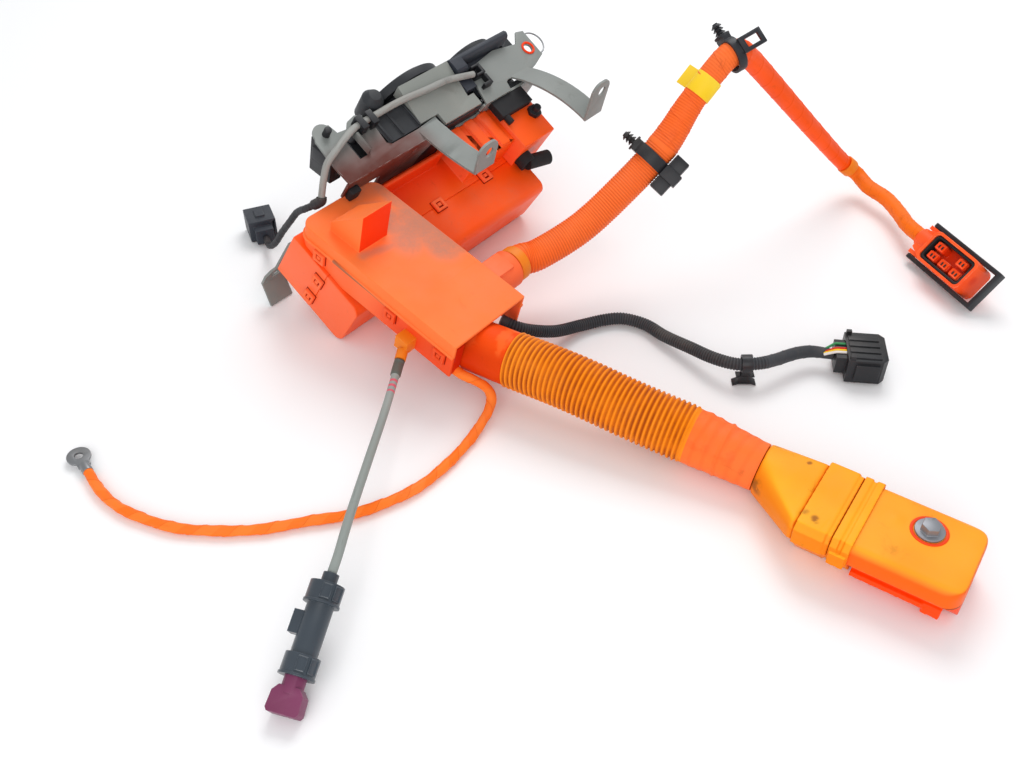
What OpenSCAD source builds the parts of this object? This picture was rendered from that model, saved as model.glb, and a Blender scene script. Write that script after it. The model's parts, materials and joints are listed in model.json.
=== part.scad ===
// Charging socket assembly of an electric car, lying as taken off: a steel
// bracket with a DC and an AC inlet, a two-shell housing, a cable duct and
// the harness that leaves it. Millimetres, +Z up, base plane at Z = 0.

/* [Bracket] */
// Thickness of the pressed sheet
sheet = 2; // [1.6:0.1:2.2]
// Width of the two long bolt arms
arm_w = 23; // [19:1:24]
// Height of the bolt tab on the middle arm
mid_tab_h = 25; // [22:1:30]
// Height of the bolt tab on the right arm
right_tab_h = 34; // [28:1:38]
// Hole in the bolt tabs
tab_hole_d = 9; // [6:0.5:10]
// Hole in the right roof wing
wing_hole_d = 8; // [6:0.5:9]
// Hole in the foot tab
foot_hole_d = 9; // [6:0.5:10]

/* [Inlets] */
// Distance between the DC and the AC inlet axis
inlet_pitch = 82; // [81:0.5:84]
// Outside of the DC inlet barrel
dc_barrel_d = 74; // [71:1:74]
// Outside of the AC inlet barrel
ac_barrel_d = 52; // [49:1:53]
// Wall of both barrels
barrel_wall = 3; // [2.5:0.5:4]
// Length of the barrels in front of the plate
barrel_len = 46; // [44:1:46]
// Thickness of the dust caps
cap_t = 7; // [5:0.5:9]
// Diameter of a DC power pin
power_pin_d = 9; // [8:0.5:10]
// Diameter of an AC power pin
ac_pin_d = 3.6; // [3:0.2:4]
// Thread of the inlet screws
screw_d = 5; // [4:0.5:5]

/* [Housing] */
// Length of the housing over both shells
housing_len = 230; // [226:1:232]
// Height of the housing
housing_h = 52; // [48:1:53]
// Depth from the plate to the rear face
housing_depth = 78; // [74:1:78]
// Wall of both shells
shell_wall = 2.5; // [2:0.25:3]
// Rounding of the rear edges
edge_r = 8; // [7:0.5:10]

/* [Duct] */
// Length of the cable duct
duct_len = 161; // [158:1:162]
// Width of the cable duct
duct_w = 78; // [76:1:80]
// Height of the cable duct with its cover
duct_h = 34; // [33:0.5:36]
// Height of the snap-on cover
cover_h = 13; // [12:0.5:14]
// Wall of the duct
duct_wall = 2.4; // [2:0.2:2.6]
// Height of the wedge on the cover
wedge_h = 36; // [30:1:38]
// Outside of the side outlet
outlet_d = 31; // [29:0.5:32]

/* [Harness] */
// Outside of the DC conduit
dc_conduit_d = 43; // [41:0.5:43]
// Ribs of the DC conduit
dc_rib_count = 35; // [30:1:38]
// Depth of a rib of the DC conduit
dc_rib_h = 1.9; // [1.4:0.1:2.2]
// Outside of the AC conduit
ac_conduit_d = 25.5; // [24:0.5:26]
// Outside of the AC lead near its connector
ac_lead_d = 12.6; // [11:0.2:13]
// Outside of the signal conduit
signal_d = 10; // [9:0.5:10]
// Outside of the ground wire
ground_d = 7.5; // [6.5:0.25:7.5]
// Outside of the release cable
release_d = 6; // [5:0.25:6]
// Outside of the inlet lead
lead_d = 5.5; // [5:0.25:5.5]
// Travel of the release pull
pull_travel = 20; // [14:1:22]
// Screw hole of the ring terminal
ring_hole_d = 6.4; // [5.3:0.1:7]

/* [Connectors] */
// Width of the DC connector body
dc_plug_w = 66; // [64:1:68]
// Height of the DC connector body
dc_plug_h = 38; // [36:1:39]
// Shank of the captive bolt
bolt_d = 8; // [6:0.5:8]
// Width across flats of the captive bolt
bolt_flats = 11; // [10:0.5:13]
// Width of the AC connector body between the lever arms
ac_plug_w = 29; // [28:0.5:31]
// Length of the AC connector body
ac_plug_len = 52; // [49:1:53]
// Length of the lever arms
lever_len = 73; // [71:1:75]

/* [Hidden] */
$fn = 48;
eps = 0.01;
// Where the assembly stands
origin_x = 141;
origin_y = 117;
// Duct frame: tilt about X and lift
duct_tilt = 14.5;
duct_lift = 59.3;
// Head frame: further tilt and its place in the duct frame
head_tilt = 18;
head_n = 161;
head_w = 25;

// Plate and inlets in the head frame (u right, m out of the plate, v up)
plate_back = -10;
plate_front = plate_back + sheet;
plate_u0 = 40;
plate_u1 = 274;
wing_u1 = 289;
dc_u = 158;
dc_v = -40;
ac_u = dc_u + inlet_pitch;
ac_v = -36;
dc_r = dc_barrel_d / 2;
ac_r = ac_barrel_d / 2;
rim_m = plate_front + barrel_len;
cap_gap = 0.3;
cap_m0 = rim_m + cap_gap;
dc_cap_r = dc_r + 9;
ac_cap_r = ac_r + 5;
dc_hinge_u = 106;
dc_hinge_m = rim_m;
ac_hinge_u = ac_u + 41;
ac_hinge_m = rim_m + 2;
pin_clear = 0.05;
hinge_pin_d = 5;
flange_t = 5;
dc_flange_w = 94;
dc_flange_h = 74;
ac_flange_w = 66;
ac_flange_h = 62;
dc_screw_x = 41;
dc_screw_y = 30;
ac_screw_x = 27;
ac_screw_y = 25;

// Lock pin
lock_m = 33.5;
lock_d = 3.4;
lock_travel = 0.3 * pull_travel;

// Housing in the head frame
house_u0 = -3;
house_u1 = house_u0 + housing_len;
house_v1 = -41;
house_v0 = house_v1 - housing_h;
house_m1 = plate_back;
house_m0 = house_m1 - housing_depth;
seam_m = -50;
box_u0 = house_u1 - 16;
box_u1 = house_u1 + 24;
hump_u0 = 158;
ridge_step = (box_u0 - hump_u0 - 2) / 3;
box_m0 = -56;
box_v1 = -10.2;
box_v0 = -62;
stud_u = box_u1 - 7;
stud_m = -34;

// Duct in the duct frame (u right, n along, w up)
outlet_n = 35;
outlet_w = -16.6;
outlet_len = 26;
mouth_cut = 26;
release_n = 41;
release_w = -27;

// DC connector frame
dc_plug_x = 66;
dc_plug_y = -300;
dc_plug_yaw = 6.6;
sleeve_y0 = 24;
sleeve_y1 = 44;
strap_y0 = 7;
strap_y1 = 20;
bolt_x = 8.7;
bolt_y = -29;
bolt_clear = 0.05;

// AC connector frame
ac_plug_p = [380, -218, 18.5];
ac_plug_roll = 47;
ac_plug_yaw = -116.8;
lever_pivot = -36;
ac_face_x = 3;
neck_c = 1.5;
neck_n = 3;
lever_t = 4;
lever_clear = 0.4;
pivot_d = 5;

// Release pull frame
pull_p = [-184.6, -64, 39.1];
pull_yaw = 203.4;
pull_tilt = 22;
pull_len = 64;
pull_collar_w = 13;
pull_neck_w = 7;
neck_d = 13.6;
neck_clear = 0.2;

// Cord paths, bench coordinates
dc_pts = [[38, -23, 35.5], [46, -70, 35], [55, -117, 30], [66, -165, 24.5], [74, -212, 20]];
dc_ribbed = 0.74;
dc_end_r = 0.81 * dc_conduit_d / 2;
dc_taped = [[0.745, 0.95], [0.79, 0.93], [0.85, 0.9], [0.855, 0.93], [0.87, 0.92], [0.875, 0.88],
    [0.93, 0.85], [1, 0.81]];
collar_len = 36;
ac_pts = [[105, 38, 52], [119, 38, 52], [134, 31, 52.5], [170, 16, 66], [205.5, 2, 91],
    [237, -11, 120], [263.5, -17, 150], [289, -26, 177], [301, -31, 181], [313, -35, 173],
    [341, -44, 144], [392, -63, 88], [440, -80, 37], [453, -92, 22], [446, -108, 18],
    [438, -130, 18], [422, -150, 19], [408, -164, 20.5], [397.3, -181.3, 21.6]];
ac_mid_d = 20;
ac_down_d = 17;
ac_radii = [for (i = [0:len(ac_pts) - 1])
    (i < 6 ? ac_conduit_d : i < 9 ? ac_mid_d : i < 12 ? ac_down_d : ac_lead_d) / 2];
signal_pts = [[66, 14, 36], [72, 4, 31], [83, -3, 24], [104, -11, 14], [129, -17, 7],
    [148, -27, 6], [159, -38, 6], [164, -56, 6], [160, -77, 8], [157, -102, 12],
    [154, -124, 16], [156, -143, 19], [166, -156, 20], [180, -163, 18], [198, -170, 16],
    [211, -178, 14], [220, -192, 13]];
ground_pts = [[8, 14, 28], [10.5, 2, 24.5], [14, -9, 21.5], [14.5, -19, 17.5], [7, -25, 11],
    [-16, -30, 5], [-45, -34, 4], [-75, -34, 4], [-99, -28, 4], [-125, -16, 4],
    [-148, 2, 4], [-174, 22, 4], [-194, 44, 4], [-211, 70, 4], [-222, 106, 4],
    [-222, 132, 4], [-217, 154, 4]];
release_pts = [[-17, 41, 36.5], [-23, 37.9, 34.6], [-60, 13.5, 36], [-105, -15.2, 40], [-150, -44, 44],
    [-174.4, -59.6, 43.6], [-184.6, -64, 39.1]];
lead_pts = [[204.4, 159.8, 137.6], [176, 162, 143], [150, 163.5, 144], [124, 166, 144.5],
    [99, 168.2, 142.6], [76, 168.1, 141.6], [58, 163, 140], [45, 159, 137.5], [36, 159, 131.5],
    [31, 159.5, 120], [27, 160, 106]];
tail_pts = [[26.9, 160, 105.7], [26.1, 160.1, 102.8], [25, 166, 98], [25, 178, 89], [28, 194, 77],
    [30, 208, 61], [32, 224, 42], [34, 239, 23], [39, 255, 10], [46, 268, 8]];
lead_plug_p = [46.2, 268.4, 0];
lead_plug_yaw = 62;
ring_p = [-217, 154, 4];
ring_yaw = 76;
signal_plug_p = [232, -212, 0];
signal_plug_yaw = -56.5;

// Frames
module placed() translate([-origin_x, -origin_y, 0]) children();

module on_duct() translate([0, 0, duct_lift]) rotate([duct_tilt, 0, 0]) children();

module on_head() on_duct() translate([0, head_n, head_w]) rotate([head_tilt, 0, 0]) children();

module on_dc_plug() translate([dc_plug_x, dc_plug_y, 0]) rotate([0, 0, dc_plug_yaw]) children();

module on_ac_plug() translate(ac_plug_p) rotate([ac_plug_roll, 0, ac_plug_yaw]) children();

module on_pull() translate(pull_p) rotate([0, pull_tilt, pull_yaw]) children();

// Extrude a profile drawn in the two other axes along u, m or w
module along_u(a, b) translate([a, 0, 0]) rotate([90, 0, 90]) linear_extrude(b - a) children();

module along_m(a, b) translate([0, b, 0]) rotate([90, 0, 0]) linear_extrude(b - a) children();

module along_v(a, b) translate([0, 0, a]) linear_extrude(b - a) children();

// Cylinder from m = a to m = b at u, v
module rod_m(u, v, r, a, b) translate([u, b, v]) rotate([90, 0, 0]) cylinder(h = b - a, r = r);

// Cylinder from u = a to u = b at n, w
module rod_u(n, w, r, a, b) translate([a, n, w]) rotate([0, 90, 0]) cylinder(h = b - a, r = r);

module box(a, b) translate(a) cube(b - a);

// Rounded rectangle about the origin
module rrect(w, h, r) {
    square([w - 2 * r, h], center = true);
    square([w, h - 2 * r], center = true);
    for (sx = [-1, 1], sy = [-1, 1])
        translate([sx * (w / 2 - r), sy * (h / 2 - r)]) circle(r);
}

// Turn local +Z from p towards q
module aim(p, q) {
    d = q - p;
    translate(p)
        rotate([0, acos(d[2] / norm(d)), atan2(d[1], d[0])])
            children();
}

// Round cord through points, one ring of s corners at each
function unit(a) = a / norm(a);
function tangent(p, i) = unit(p[min(i + 1, len(p) - 1)] - p[max(i - 1, 0)]);
function ring(p, i, r, s, ref) =
    let (t = tangent(p, i), x = unit(cross(t, ref)), y = cross(x, t))
    [for (k = [0:s - 1]) p[i] + r * (cos(360 * k / s) * x + sin(360 * k / s) * y)];

module cord(p, radii, s = 12, ref = [0, 0, 1]) {
    n = len(p);
    pts = [for (i = [0:n - 1]) each ring(p, i, radii[i], s, ref)];
    sides = [for (i = [0:n - 2], k = [0:s - 1], h = [0, 1])
        let (a = i * s + k, b = i * s + (k + 1) % s)
        h == 0 ? [a, b, a + s] : [b, b + s, a + s]];
    first = [for (k = [0:s - 1]) s - 1 - k];
    last = [for (k = [0:s - 1]) (n - 1) * s + k];
    polyhedron(points = pts, faces = concat([first, last], sides));
}

function same(p, d) = [for (q = p) d / 2];

// Point at t = 0 to 1 on the smooth line through p
function on_line(p, t) =
    let (n = len(p) - 1, k = min(floor(t * n), n - 1), f = t * n - k,
        a = p[max(k - 1, 0)], b = p[k], c = p[k + 1], d = p[min(k + 2, n)])
    b + f / 2 * (c - a + f * (2 * a - 5 * b + 4 * c - d + f * (3 * (b - c) + d - a)));

// Bracket
module front_plate() color([0.50, 0.52, 0.50]) placed() on_head()
    along_m(plate_back, plate_front)
        difference() {
            polygon([[plate_u0, -90], [215, -90], [262, -66], [plate_u1, -45], [plate_u1, -sheet],
                [198, -sheet], [196, -14], [152, -14], [150, -sheet], [plate_u0, -sheet],
                [plate_u0, -19.5], [82, -19.5], [82, -45], [plate_u0, -45]]);
            translate([dc_u, dc_v]) circle(dc_core_r + 0.3);
            translate([ac_u, ac_v]) circle(ac_core_r + 0.3);
            at_screws() circle(screw_d / 2 + 0.1);
        }

dc_core_r = 28;
ac_core_r = 19;

module at_screws() {
    for (sx = [-1, 1], sy = [-1, 1]) {
        translate([dc_u + sx * dc_screw_x, dc_v + sy * dc_screw_y]) children();
        translate([ac_u + sx * ac_screw_x, ac_v + sy * ac_screw_y]) children();
    }
}

// Sheet arm in the duct frame that ends in an upright bolt tab
module bolt_arm(u_mid, du, n0, n1, top, h, arch) {
    a = arm_w / 2;
    edge = [for (i = [0:12]) [n1 + (n0 - n1) * i / 12, arch * i * (12 - i) / 36]];
    intersection() {
        along_u(u_mid - a - 1, u_mid + a + du + 1)
            polygon(concat([for (q = edge) [q[0], top + q[1]]],
                [for (i = [0:12]) [edge[12 - i][0], top - sheet + edge[12 - i][1]]]));
        along_v(top - sheet - 20, top + 20)
            polygon([[u_mid - a, n1], [u_mid + a, n1], [u_mid + du + a, n0], [u_mid + du - a, n0]]);
    }
    difference() {
        along_m(n0, n0 + sheet)
            intersection() {
                translate([u_mid + du - a, top - sheet]) square([arm_w, h + sheet]);
                union() {
                    translate([u_mid + du - a, top - sheet]) square([arm_w, h - 5]);
                    translate([u_mid + du + a - 9, top + h - 9]) circle(9);
                    translate([u_mid + du - a + 9, top + h - 9]) circle(9);
                    translate([u_mid + du - a + 9, top]) square([arm_w - 18, h]);
                }
            }
        rod_m(u_mid + du + 2, top + h - 10.5, tab_hole_d / 2, n0 - 1, n0 + sheet + 1);
    }
}

mid_arm_u = 136.5;
mid_arm_n0 = 98.5;
right_arm_u = 253;
right_arm_n0 = 85;
right_arm_shift = 10;

module left_bracket() color([0.52, 0.54, 0.52]) placed() {
    on_head() {
        along_v(-sheet, 0)
            difference() {
                union() {
                    polygon([[41, plate_back], [40, 8], [42, 32], [46, 38], [61, 39], [63, 30],
                        [72, 29], [77, 34], [86, 36], [93, 32], [95, 24], [93, 4], [97, 1],
                        [126, 1], [148, 3], [148, -0.5], [127, -0.5], [127, plate_back]]);
                    translate([52.5, 34]) circle(9);
                }
                translate([63.5, 3]) square([9.5, 21]);
                translate([box_stud_u, box_stud_m]) circle(box_stud_d / 2 + 0.2);
            }
        box([73, 4, -0.5], [73 + sheet, 21, 5]);
    }
    on_duct() bolt_arm(mid_arm_u, 0, mid_arm_n0, head_n + 0.8, head_w, mid_tab_h, -2);
}

box_stud_u = 53.5;
box_stud_m = 33;
box_stud_d = 6;

module right_bracket() color([0.52, 0.54, 0.52]) placed() {
    on_head()
        along_v(-sheet, 0)
            difference() {
                polygon([[200, plate_back], [232, plate_back], [234, -2], [237, -0.5], [265, -0.5],
                    [267, -3], [275, -1], [wing_u1, 4], [wing_u1, 31], [281, 33], [272, 23.5],
                    [245, 28.5], [219, 25], [211, 24], [207, 18], [204, 5]]);
                translate([280, 15]) circle(wing_hole_d / 2);
            }
    on_duct()
        bolt_arm(right_arm_u, right_arm_shift, right_arm_n0, head_n + 0.8, head_w, right_tab_h, 7);
}

// Foot tab: lapped on the plate, then down past the housing to the ground
module foot_bracket() color([0.46, 0.48, 0.46]) placed() on_head() {
    difference() {
        along_m(plate_front, plate_front + sheet)
            polygon([[70, -62], [70, -72], [18, -90], [14, -119], [-9, -119], [-9, -106],
                [-5, -101], [0, -99], [2, -62]]);
        rod_m(3, -110, foot_hole_d / 2, plate_front - 1, plate_front + sheet + 1);
    }
    along_u(-9, 14)
        polygon([[plate_front, -118.5], [plate_front + sheet, -118.5], [-22.6, -131.8], [-24.2, -130.6]]);
}

// Inlets
module dc_inlet_shell() color([0.16, 0.17, 0.18]) placed() on_head() {
    difference() {
        union() {
            along_m(plate_front, plate_front + flange_t)
                translate([dc_u, dc_v]) rrect(dc_flange_w, dc_flange_h, 8);
            rod_m(dc_u, dc_v, dc_r, plate_front, rim_m);
            dc_hinge_lug(-66, -50);
            dc_hinge_lug(-30, -14);
        }
        rod_m(dc_u, dc_v, dc_r - barrel_wall, plate_front - 1, rim_m + 1);
        for (sx = [-1, 1], sy = [-1, 1])
            rod_m(dc_u + sx * dc_screw_x, dc_v + sy * dc_screw_y, screw_d / 2 + 0.1, plate_back, 0);
        translate([dc_hinge_u, dc_hinge_m, -67]) cylinder(h = 80, d = hinge_pin_d + 2 * pin_clear);
    }
    difference() {
        union() {
            translate([dc_hinge_u, dc_hinge_m, -14]) cylinder(h = 20, r = 9);
            translate([dc_hinge_u, dc_hinge_m, 6]) cylinder(h = 6, r1 = 9, r2 = 5);
        }
        translate([dc_hinge_u, dc_hinge_m, -15]) cylinder(h = 18, d = hinge_pin_d + 2 * pin_clear);
    }
}

module dc_hinge_lug(a, b) {
    along_v(a, b) {
        difference() {
            translate([dc_hinge_u, dc_hinge_m - 26]) square([26, 26 - 1]);
            translate([dc_hinge_u + 6, dc_hinge_m - 7]) square([30, 10]);
        }
        translate([dc_hinge_u, dc_hinge_m]) circle(5.5);
        translate([dc_hinge_u - 5.5, dc_hinge_m - 26]) square([11, 26]);
    }
}

module dc_contact_block() color([0.12, 0.12, 0.13]) placed() on_head()
    difference() {
        union() {
            rod_m(dc_u, dc_v, dc_core_r, plate_back, 0);
            rod_m(dc_u, dc_v, dc_r - barrel_wall - 0.1, plate_front, -2);
            for (s = [-1, 1]) {
                rod_m(dc_u + s * 16, dc_v, 10, -2, 28);
                rod_m(dc_u, dc_v + s * 18, 8.5, -2, 28);
            }
        }
        for (s = [-1, 1]) {
            rod_m(dc_u + s * 16, dc_v, power_pin_d / 2 + 2, 4, 29);
            rod_m(dc_u + s * 16, dc_v, power_pin_d / 2 + 0.1, -6, 5);
        }
        at_signal_pins() rod_m(0, 0, 1.35, -6, 29);
    }

module at_signal_pins()
    for (s = [-1, 1], k = [0:2])
        translate([dc_u + 4.2 * cos(90 * s + 120 * k), 0, dc_v + s * 18 + 4.2 * sin(90 * s + 120 * k)])
            children();

module dc_pins() color([0.75, 0.62, 0.30]) placed() on_head() {
    for (s = [-1, 1]) {
        rod_m(dc_u + s * 16, dc_v, power_pin_d / 2, -6, 22);
        translate([dc_u + s * 16, 22, dc_v]) rotate([-90, 0, 0])
            cylinder(h = 3, r1 = power_pin_d / 2, r2 = power_pin_d / 2 - 2);
    }
    at_signal_pins() rod_m(0, 0, 1.2, -6, 25);
}

module ac_inlet_shell() color([0.16, 0.17, 0.18]) placed() on_head()
    difference() {
        union() {
            along_m(plate_front, plate_front + flange_t)
                translate([ac_u, ac_v]) rrect(ac_flange_w, ac_flange_h, 8);
            rod_m(ac_u, ac_v, ac_r, plate_front, rim_m);
            for (v = [-62, -30])
                along_v(v, v + 12) {
                    translate([ac_hinge_u, ac_hinge_m]) circle(5.5);
                    translate([ac_hinge_u - 5.5, rim_m - 20]) square([11, 22]);
                    translate([ac_u + ac_r - 8, rim_m - 20]) square([ac_hinge_u - ac_u - ac_r + 8, 14]);
                }
        }
        rod_m(ac_u, ac_v, ac_r - barrel_wall, plate_front - 1, rim_m + 1);
        for (sx = [-1, 1], sy = [-1, 1])
            rod_m(ac_u + sx * ac_screw_x, ac_v + sy * ac_screw_y, screw_d / 2 + 0.1, plate_back, 0);
        translate([ac_hinge_u, ac_hinge_m, -63]) cylinder(h = 50, d = hinge_pin_d + 2 * pin_clear);
        translate([ac_u, lock_m, ac_v]) cylinder(h = ac_r + 5, d = lock_d + 0.8);
    }

module ac_contact_block() color([0.12, 0.12, 0.13]) placed() on_head()
    difference() {
        union() {
            rod_m(ac_u, ac_v, ac_core_r, plate_back, -2);
            rod_m(ac_u, ac_v, ac_r - barrel_wall - 0.1, plate_front, -3);
            rod_m(ac_u, ac_v, 13, -3, 30);
        }
        at_ac_pins() rod_m(0, 0, ac_pin_d / 2 + 1.4, 2, 31);
        at_ac_pins() rod_m(0, 0, ac_pin_d / 2 + 0.1, -6, 3);
    }

module at_ac_pins()
    for (p = [[-6.8, 4.5], [6.8, 4.5], [-7.6, -4.2], [7.6, -4.2], [0, -8]])
        translate([ac_u + p[0], 0, ac_v + p[1]]) children();

module ac_pins() color([0.75, 0.62, 0.30]) placed() on_head()
    at_ac_pins() rod_m(0, 0, ac_pin_d / 2, -6, 26);

module inlet_screws() color([0.45, 0.46, 0.47]) placed() on_head() {
    along_m(plate_back, plate_front + flange_t) at_screws() circle(screw_d / 2);
    along_m(plate_front + flange_t, plate_front + flange_t + 3) at_screws() circle(4.2);
}

// Dust caps, each with a knuckle between the lugs of its barrel
module dc_cap() color([0.14, 0.15, 0.16]) placed() on_head()
    difference() {
        union() {
            rod_m(dc_u, dc_v, dc_cap_r, cap_m0, cap_m0 + cap_t);
            rod_m(dc_u, dc_v, dc_cap_r - 3, cap_m0 + cap_t, cap_m0 + cap_t + 1.5);
            along_v(-49.5, -30.5) {
                translate([dc_hinge_u, dc_hinge_m]) circle(5);
                translate([dc_hinge_u, cap_m0]) square([22, cap_t - 2]);
                translate([dc_hinge_u - 5, dc_hinge_m]) square([8, cap_gap + cap_t - 2]);
            }
        }
        translate([dc_hinge_u, dc_hinge_m, -52]) cylinder(h = 24, d = hinge_pin_d + 2 * pin_clear);
    }

module ac_cap() color([0.14, 0.15, 0.16]) placed() on_head()
    difference() {
        union() {
            rod_m(ac_u, ac_v, ac_cap_r, cap_m0, cap_m0 + cap_t);
            rod_m(ac_u, ac_v, ac_cap_r - 3, cap_m0 + cap_t, cap_m0 + cap_t + 1.5);
            along_v(-49.5, -30.5) {
                translate([ac_hinge_u, ac_hinge_m]) circle(5);
                translate([ac_hinge_u - 20, cap_m0]) square([20, cap_t - 2]);
            }
        }
        translate([ac_hinge_u, ac_hinge_m, -52]) cylinder(h = 24, d = hinge_pin_d + 2 * pin_clear);
    }

module hinge_pins() color([0.62, 0.63, 0.64]) placed() on_head() {
    translate([dc_hinge_u, dc_hinge_m, -66]) cylinder(h = 66, d = hinge_pin_d);
    translate([ac_hinge_u, ac_hinge_m, -62]) cylinder(h = 44, d = hinge_pin_d);
}

// Lock of the AC inlet
module lock_actuator() color([0.25, 0.27, 0.30]) placed() on_head()
    difference() {
        union() {
            box([190, 7, -2.4], [202.5, 24, 3]);
            along_u(190, 202.5) cover_profile(21);
            along_u(202, 262) cover_profile(29.2);
            box([207, 1, -9.6], [256, 36, -2.4]);
            box([190, 26, -9.6], [207, 36, -2.4]);
        }
        translate([ac_u, lock_m, -10]) cylinder(h = 17, d = lock_d + 0.8);
    }

// Rounded cover of the lock, from m = a to its far side
module cover_profile(a)
    polygon([[a, -2.4], [a, 6.5], [a + 1, 9], [a + 3, 10.5], [34, 10.5], [36, 9], [36.5, 6.5], [36.5, -2.4]]);

module lock_pin() color([0.62, 0.63, 0.64]) placed() on_head()
    translate([ac_u, lock_m, -19]) cylinder(h = 16, d = lock_d);

module inlet_hood() color([0.30, 0.31, 0.31]) placed() on_head()
    difference() {
        union() {
            along_u(131, 189) polygon([[3.5, -2.4], [3.5, 0.6], [36, 9], [36, -2.4]]);
            along_u(152, 196) polygon([[-7, -2.4], [-7, 0.3], [4, 0.7], [4, -2.4]]);
        }
        along_u(133.5, 186.5) polygon([[8, -3], [8, -0.5], [33.5, 6], [33.5, -3]]);
    }

module hinge_surround() color([0.13, 0.14, 0.15]) placed() on_head() {
    difference() {
        box([96.5, 2, -2.4], [130.5, 28, 0]);
        translate([dc_hinge_u, dc_hinge_m, -5]) cylinder(h = 10, r = 10);
    }
    for (u = [96.5, 110, 128.5])
        box([u, 3, 0], [u + 2, 27, 2]);
    box([98.5, 25, 0], [128.5, 27, 2]);
}

// Small pieces on the bracket
module rubber_mount() color([0.10, 0.10, 0.11]) placed() on_head() {
    box([207, -26, -9.9], [246, plate_back, -2.6]);
    rod_m(213, -6.2, 3.2, -33, -26);
}

module rubber_buffer() color([0.10, 0.10, 0.11]) placed() on_head()
    box([42, -16, -19], [52, plate_back, -8]);

module wire_loop() color([0.55, 0.55, 0.55]) placed() on_head()
    translate([wing_u1, 17, -1]) rotate([0, 0, -90])
        rotate_extrude(angle = 180) translate([11, 0]) circle(0.7, $fn = 24);

module cable_holder() color([0.15, 0.15, 0.16]) placed() on_head() {
    difference() {
        box([205, 12, 0], [215, 22, 9]);
        box([204, 14, 3], [212, 20, 10]);
    }
    box([207, 2, 0], [217, 5, 6]);
    box([214, 5, 0], [217, 12, 6]);
}

module cable_clips() color([0.13, 0.13, 0.14]) placed() on_head() {
    for (u = [78, 89])
        difference() {
            box([u, 19, 0], [u + 6, 31, 9.5]);
            rod_u(25.3, 5.2, lead_d / 2 + 1, u - 1, u + 7);
        }
}

module box_connector() color([0.15, 0.16, 0.17]) placed() {
    on_duct() {
        box([49, 180, -4], [61, 203, 28.5]);
        box([47.5, 183, 10], [49, 200, 22]);
    }
    on_head() translate([box_stud_u, box_stud_m, -12]) cylinder(h = 19, d = box_stud_d);
}

// Housing
module housing_profile()
    intersection() {
        translate([house_m0, house_v0]) square([housing_depth, housing_h]);
        union() {
            translate([house_m0 + edge_r, house_v0]) square([housing_depth, housing_h]);
            translate([house_m0, house_v0 + edge_r]) square([housing_depth, housing_h - 2 * edge_r]);
            for (v = [house_v0 + edge_r, house_v1 - edge_r])
                translate([house_m0 + edge_r, v]) circle(edge_r);
        }
    }

module wire_window()
    on_duct() box([10, 118, -40], [68, 146, -10]);

module front_shell() color([0.93, 0.33, 0.16]) placed() {
    difference() {
        on_head() {
            box([house_u0, seam_m, house_v0], [house_u1, house_m1, house_v1]);
            box([duct_w + 1.8, -20, house_v1], [150, -17, -22]);
            box([hump_u0, -45, house_v1], [box_u0, house_m1, -14.2]);
            for (k = [0:2])
                translate([hump_u0 + 2 + k * ridge_step, 0, 0])
                    box([0, -44, -14.2], [ridge_step - 7, house_m1, -11.4]);
        }
        on_head() {
            box([house_u0 + shell_wall, seam_m - 1, house_v0 + shell_wall],
                [house_u1 - shell_wall, house_m1 - shell_wall, house_v1 - shell_wall]);
            box([hump_u0 + 2.5, -42.5, house_v1 - 5], [box_u0 - 2.5, house_m1 - 2.5, -17]);
        }
        wire_window();
    }
}

module rear_cover() color([0.94, 0.38, 0.20]) placed() on_head()
    difference() {
        intersection() {
            along_u(house_u0, house_u1) housing_profile();
            box([house_u0, house_m0, house_v0], [house_u1, seam_m, house_v1]);
        }
        box([house_u0 + shell_wall, house_m0 + edge_r, house_v0 + shell_wall],
            [house_u1 - shell_wall, seam_m + 1, house_v1 - shell_wall]);
    }

module ac_rear_housing() color([0.93, 0.33, 0.16]) placed() on_head()
    difference() {
        along_m(box_m0, house_m1)
            polygon([[box_u0, house_v1], [house_u1, house_v1], [house_u1, box_v0],
                [box_u1, box_v0], [box_u1, box_v1], [box_u0, box_v1]]);
        box([box_u0 + 3, box_m0 + 3, house_v1 + 3], [box_u1 - 3, house_m1 + 1, box_v1 - 3]);
    }

// Duct
module duct_outline(grow) {
    r = 10 + grow;
    w = duct_w + 2 * grow;
    translate([-grow, 0]) square([w, duct_len + grow - r]);
    translate([-grow + r, 0]) square([w - 2 * r, duct_len + grow]);
    for (u = [-grow + r, w - grow - r])
        translate([u, duct_len + grow - r]) circle(r);
}

module under_housing()
    on_head() box([-20, -120, -160], [250, 0, house_v1]);

module duct_tray() color([0.94, 0.34, 0.16]) placed()
    difference() {
        on_duct()
            difference() {
                along_v(-duct_h, -cover_h) duct_outline(0);
                along_v(-duct_h + duct_wall, -cover_h + 1)
                    translate([0, -1]) duct_outline(-duct_wall);
                box([duct_wall, -1, -duct_h - 1], [duct_w - duct_wall, mouth_cut, -duct_h + 5]);
                rod_u(outlet_n, outlet_w, outlet_d / 2 - 4, duct_w - 5, duct_w + 1);
            }
        under_housing();
    }

module duct_cover() color([1.0, 0.50, 0.24]) placed() on_duct() {
    difference() {
        union() {
            along_v(-cover_h, 0) duct_outline(0);
            along_v(-cover_h, -cover_h + 3) duct_outline(1.5);
        }
        along_v(-cover_h - 1, -duct_wall) translate([0, -1]) duct_outline(-duct_wall);
        rod_u(outlet_n, outlet_w, outlet_d / 2 + 0.3, duct_w, duct_w + 3);
        box([duct_w, outlet_n - 9.3, -cover_h - 1], [duct_w + 2, outlet_n + 9.3, -cover_h + 4]);
        rod_u(outlet_n, outlet_w, outlet_d / 2 - 4, duct_w - 5, duct_w + 1);
    }
    along_u(12, 42) polygon([[110, 0], [110, wedge_h], [141, 8], [141, 0]]);
}

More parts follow.
